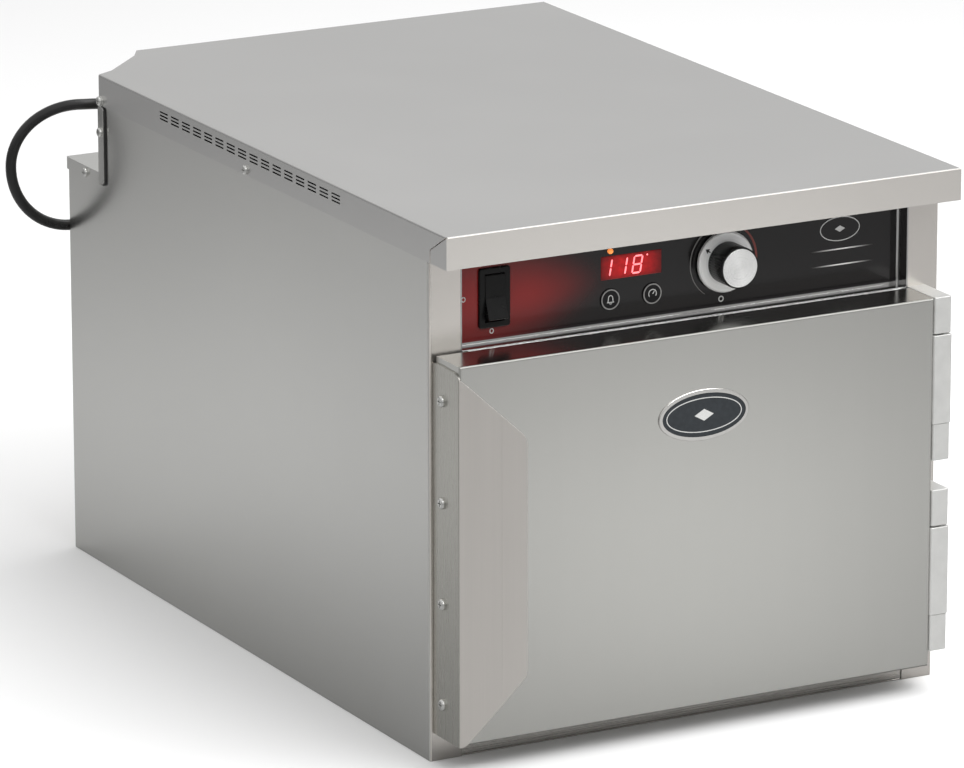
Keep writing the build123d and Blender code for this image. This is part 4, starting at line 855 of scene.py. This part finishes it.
# ---------------------------------------------------------------- studio
VIEW_AZIMUTH = -28.238
VIEW_ELEVATION = 15.726
VIEW_ROLL = -0.087
VIEW_DISTANCE = 6.1219
VIEW_TARGET = Vector((-0.0084, 0.0, 0.2061))
SENSOR_WIDTH = 36.0
LENS = 262.75
CAMERA_REACH = 100.0


def add_camera():
    """Long lens at the reference viewing angle."""
    azimuth = math.radians(VIEW_AZIMUTH)
    elevation = math.radians(VIEW_ELEVATION)
    level = math.cos(elevation)
    away = Vector((math.sin(azimuth) * level, -math.cos(azimuth) * level, math.sin(elevation)))
    data = bpy.data.cameras.new("camera")
    data.lens = LENS
    data.sensor_width = SENSOR_WIDTH
    data.clip_end = CAMERA_REACH
    camera = bpy.data.objects.new("camera", data)
    camera.location = VIEW_TARGET + away * VIEW_DISTANCE
    turn = (-away).to_track_quat("-Z", "Y").to_matrix() @ Matrix.Rotation(math.radians(VIEW_ROLL), 3, "Z")
    camera.rotation_euler = turn.to_euler()
    bpy.context.scene.collection.objects.link(camera)
    bpy.context.scene.camera = camera


def add_softbox(name, place, aim, width, height, power):
    """Rectangular light aimed at a point and hidden from the camera."""
    data = bpy.data.lights.new(name, "AREA")
    data.shape = "RECTANGLE"
    data.size = width
    data.size_y = height
    data.energy = power
    light = bpy.data.objects.new(name, data)
    light.location = place
    light.rotation_euler = (Vector(aim) - Vector(place)).to_track_quat("-Z", "Y").to_euler()
    light.visible_camera = False
    bpy.context.scene.collection.objects.link(light)


FLOOR_HALF = 14.0
FLOOR_Z = -0.2 * MM
FLOOR_SEEN = 0.88                # albedo, except in a mirrored view
FLOOR_MIRRORED = (0.32, 0.58)    # painted reflection: albedo in a mirrored view, outside and inside the painted light pools
# middle x, y, heading of the long axis in degrees, half lengths along and across it
PAINTED_FLOOR_POOLS = ((0.27, -0.93, -57.5, 0.52, 0.19), (-0.56, 0.60, 118.2, 0.72, 0.28))


def add_painted_pools(g):
    """Brightness of the painted light pools on the floor, as the larger of two soft ellipses."""
    brightest = None
    x, y, _ = g.split(g.point)
    for middle_x, middle_y, heading, long, wide in PAINTED_FLOOR_POOLS:
        c = math.cos(math.radians(heading))
        s = math.sin(math.radians(heading))
        dx = g.math("SUBTRACT", x, middle_x)
        dy = g.math("SUBTRACT", y, middle_y)
        u = g.math("ADD", g.math("MULTIPLY", dx, c / long), g.math("MULTIPLY", dy, s / long))
        v = g.math("ADD", g.math("MULTIPLY", dx, -s / wide), g.math("MULTIPLY", dy, c / wide))
        reach = g.math("ADD", g.math("MULTIPLY", u, u), g.math("MULTIPLY", v, v))
        pool = g.math("EXPONENT", g.math("MULTIPLY", reach, -0.5))
        brightest = pool if brightest is None else g.math("MAXIMUM", brightest, pool)
    return brightest


def add_floor():
    """Pale floor that steel mirrors darker than the camera sees it, with brighter soft pools of painted light
    that show only in the steel's reflections.
    """
    corners = ((-1, -1), (1, -1), (1, 1), (-1, 1))
    data = bpy.data.meshes.new("floor")
    data.from_pydata([(x * FLOOR_HALF, y * FLOOR_HALF, FLOOR_Z) for x, y in corners], [], [(0, 1, 2, 3)])
    floor = bpy.data.objects.new("floor", data)
    g = Graph("floor_pale")
    tone = g.noise(g.point, 1.2, 2.0, 0.5)
    # painted reflection: glossy rays see a darker floor colour with painted light pools, not the floor's
    # albedo
    painted_mirror_albedo = g.remap(add_painted_pools(g), 0.0, 1.0, FLOOR_MIRRORED[0], FLOOR_MIRRORED[1])
    rays = g.add("ShaderNodeLightPath")
    albedo = g.mix(rays.outputs["Is Glossy Ray"], FLOOR_SEEN, painted_mirror_albedo, "FLOAT")
    albedo = g.math("MULTIPLY", albedo, g.remap(tone, 0.3, 0.7, 0.99, 1.01))
    data.materials.append(g.set(colour=g.join(albedo, albedo, albedo), roughness=0.75, specular=0.0))
    bpy.context.scene.collection.objects.link(floor)


# height above the horizon as a sine, and brightness there
ROOM_STOPS = ((0.0, 0.42), (0.19, 0.52), (0.31, 0.82), (1.0, 0.80))


def add_world():
    """Soft room: grey at the horizon, brighter higher up."""
    world = bpy.data.worlds.new("studio")
    bpy.context.scene.world = world
    world.use_nodes = True
    tree = world.node_tree
    background = tree.nodes["Background"]
    coordinates = tree.nodes.new("ShaderNodeTexCoord")
    split = tree.nodes.new("ShaderNodeSeparateXYZ")
    ramp = tree.nodes.new("ShaderNodeValToRGB")
    tree.links.new(coordinates.outputs["Generated"], split.inputs[0])
    tree.links.new(split.outputs[2], ramp.inputs[0])
    tree.links.new(ramp.outputs[0], background.inputs[0])
    stops = ramp.color_ramp.elements
    while len(stops) < len(ROOM_STOPS):
        stops.new(0.5)
    for stop, (height, level) in zip(stops, ROOM_STOPS):
        stop.position = height
        stop.color = rgb(level, level, level)
    background.inputs[1].default_value = 1.0


# name, place, aim, width, height and power in watts
SOFTBOXES = (
    ("key_softbox", (0.9, -2.3, 2.8), (0, 0, 0.2), 3.0, 1.5, 72.0),
    ("top_softbox", (0.7, -0.2, 2.8), (0, 0, 0.4), 2.4, 2.0, 42.0),
)


def light_studio():
    """Room, floor and two soft lights from above, one of them to the front."""
    add_world()
    add_floor()
    for softbox in SOFTBOXES:
        add_softbox(*softbox)
    bpy.context.scene.view_settings.view_transform = "Standard"


paint_casing()
paint_hardware()
paint_soft()
paint_controls()
add_folded_pull()
add_display_digits()
add_overlay_prints()
add_key_prints()
add_dial_pointer()
add_badge_relief()
add_camera()
light_studio()
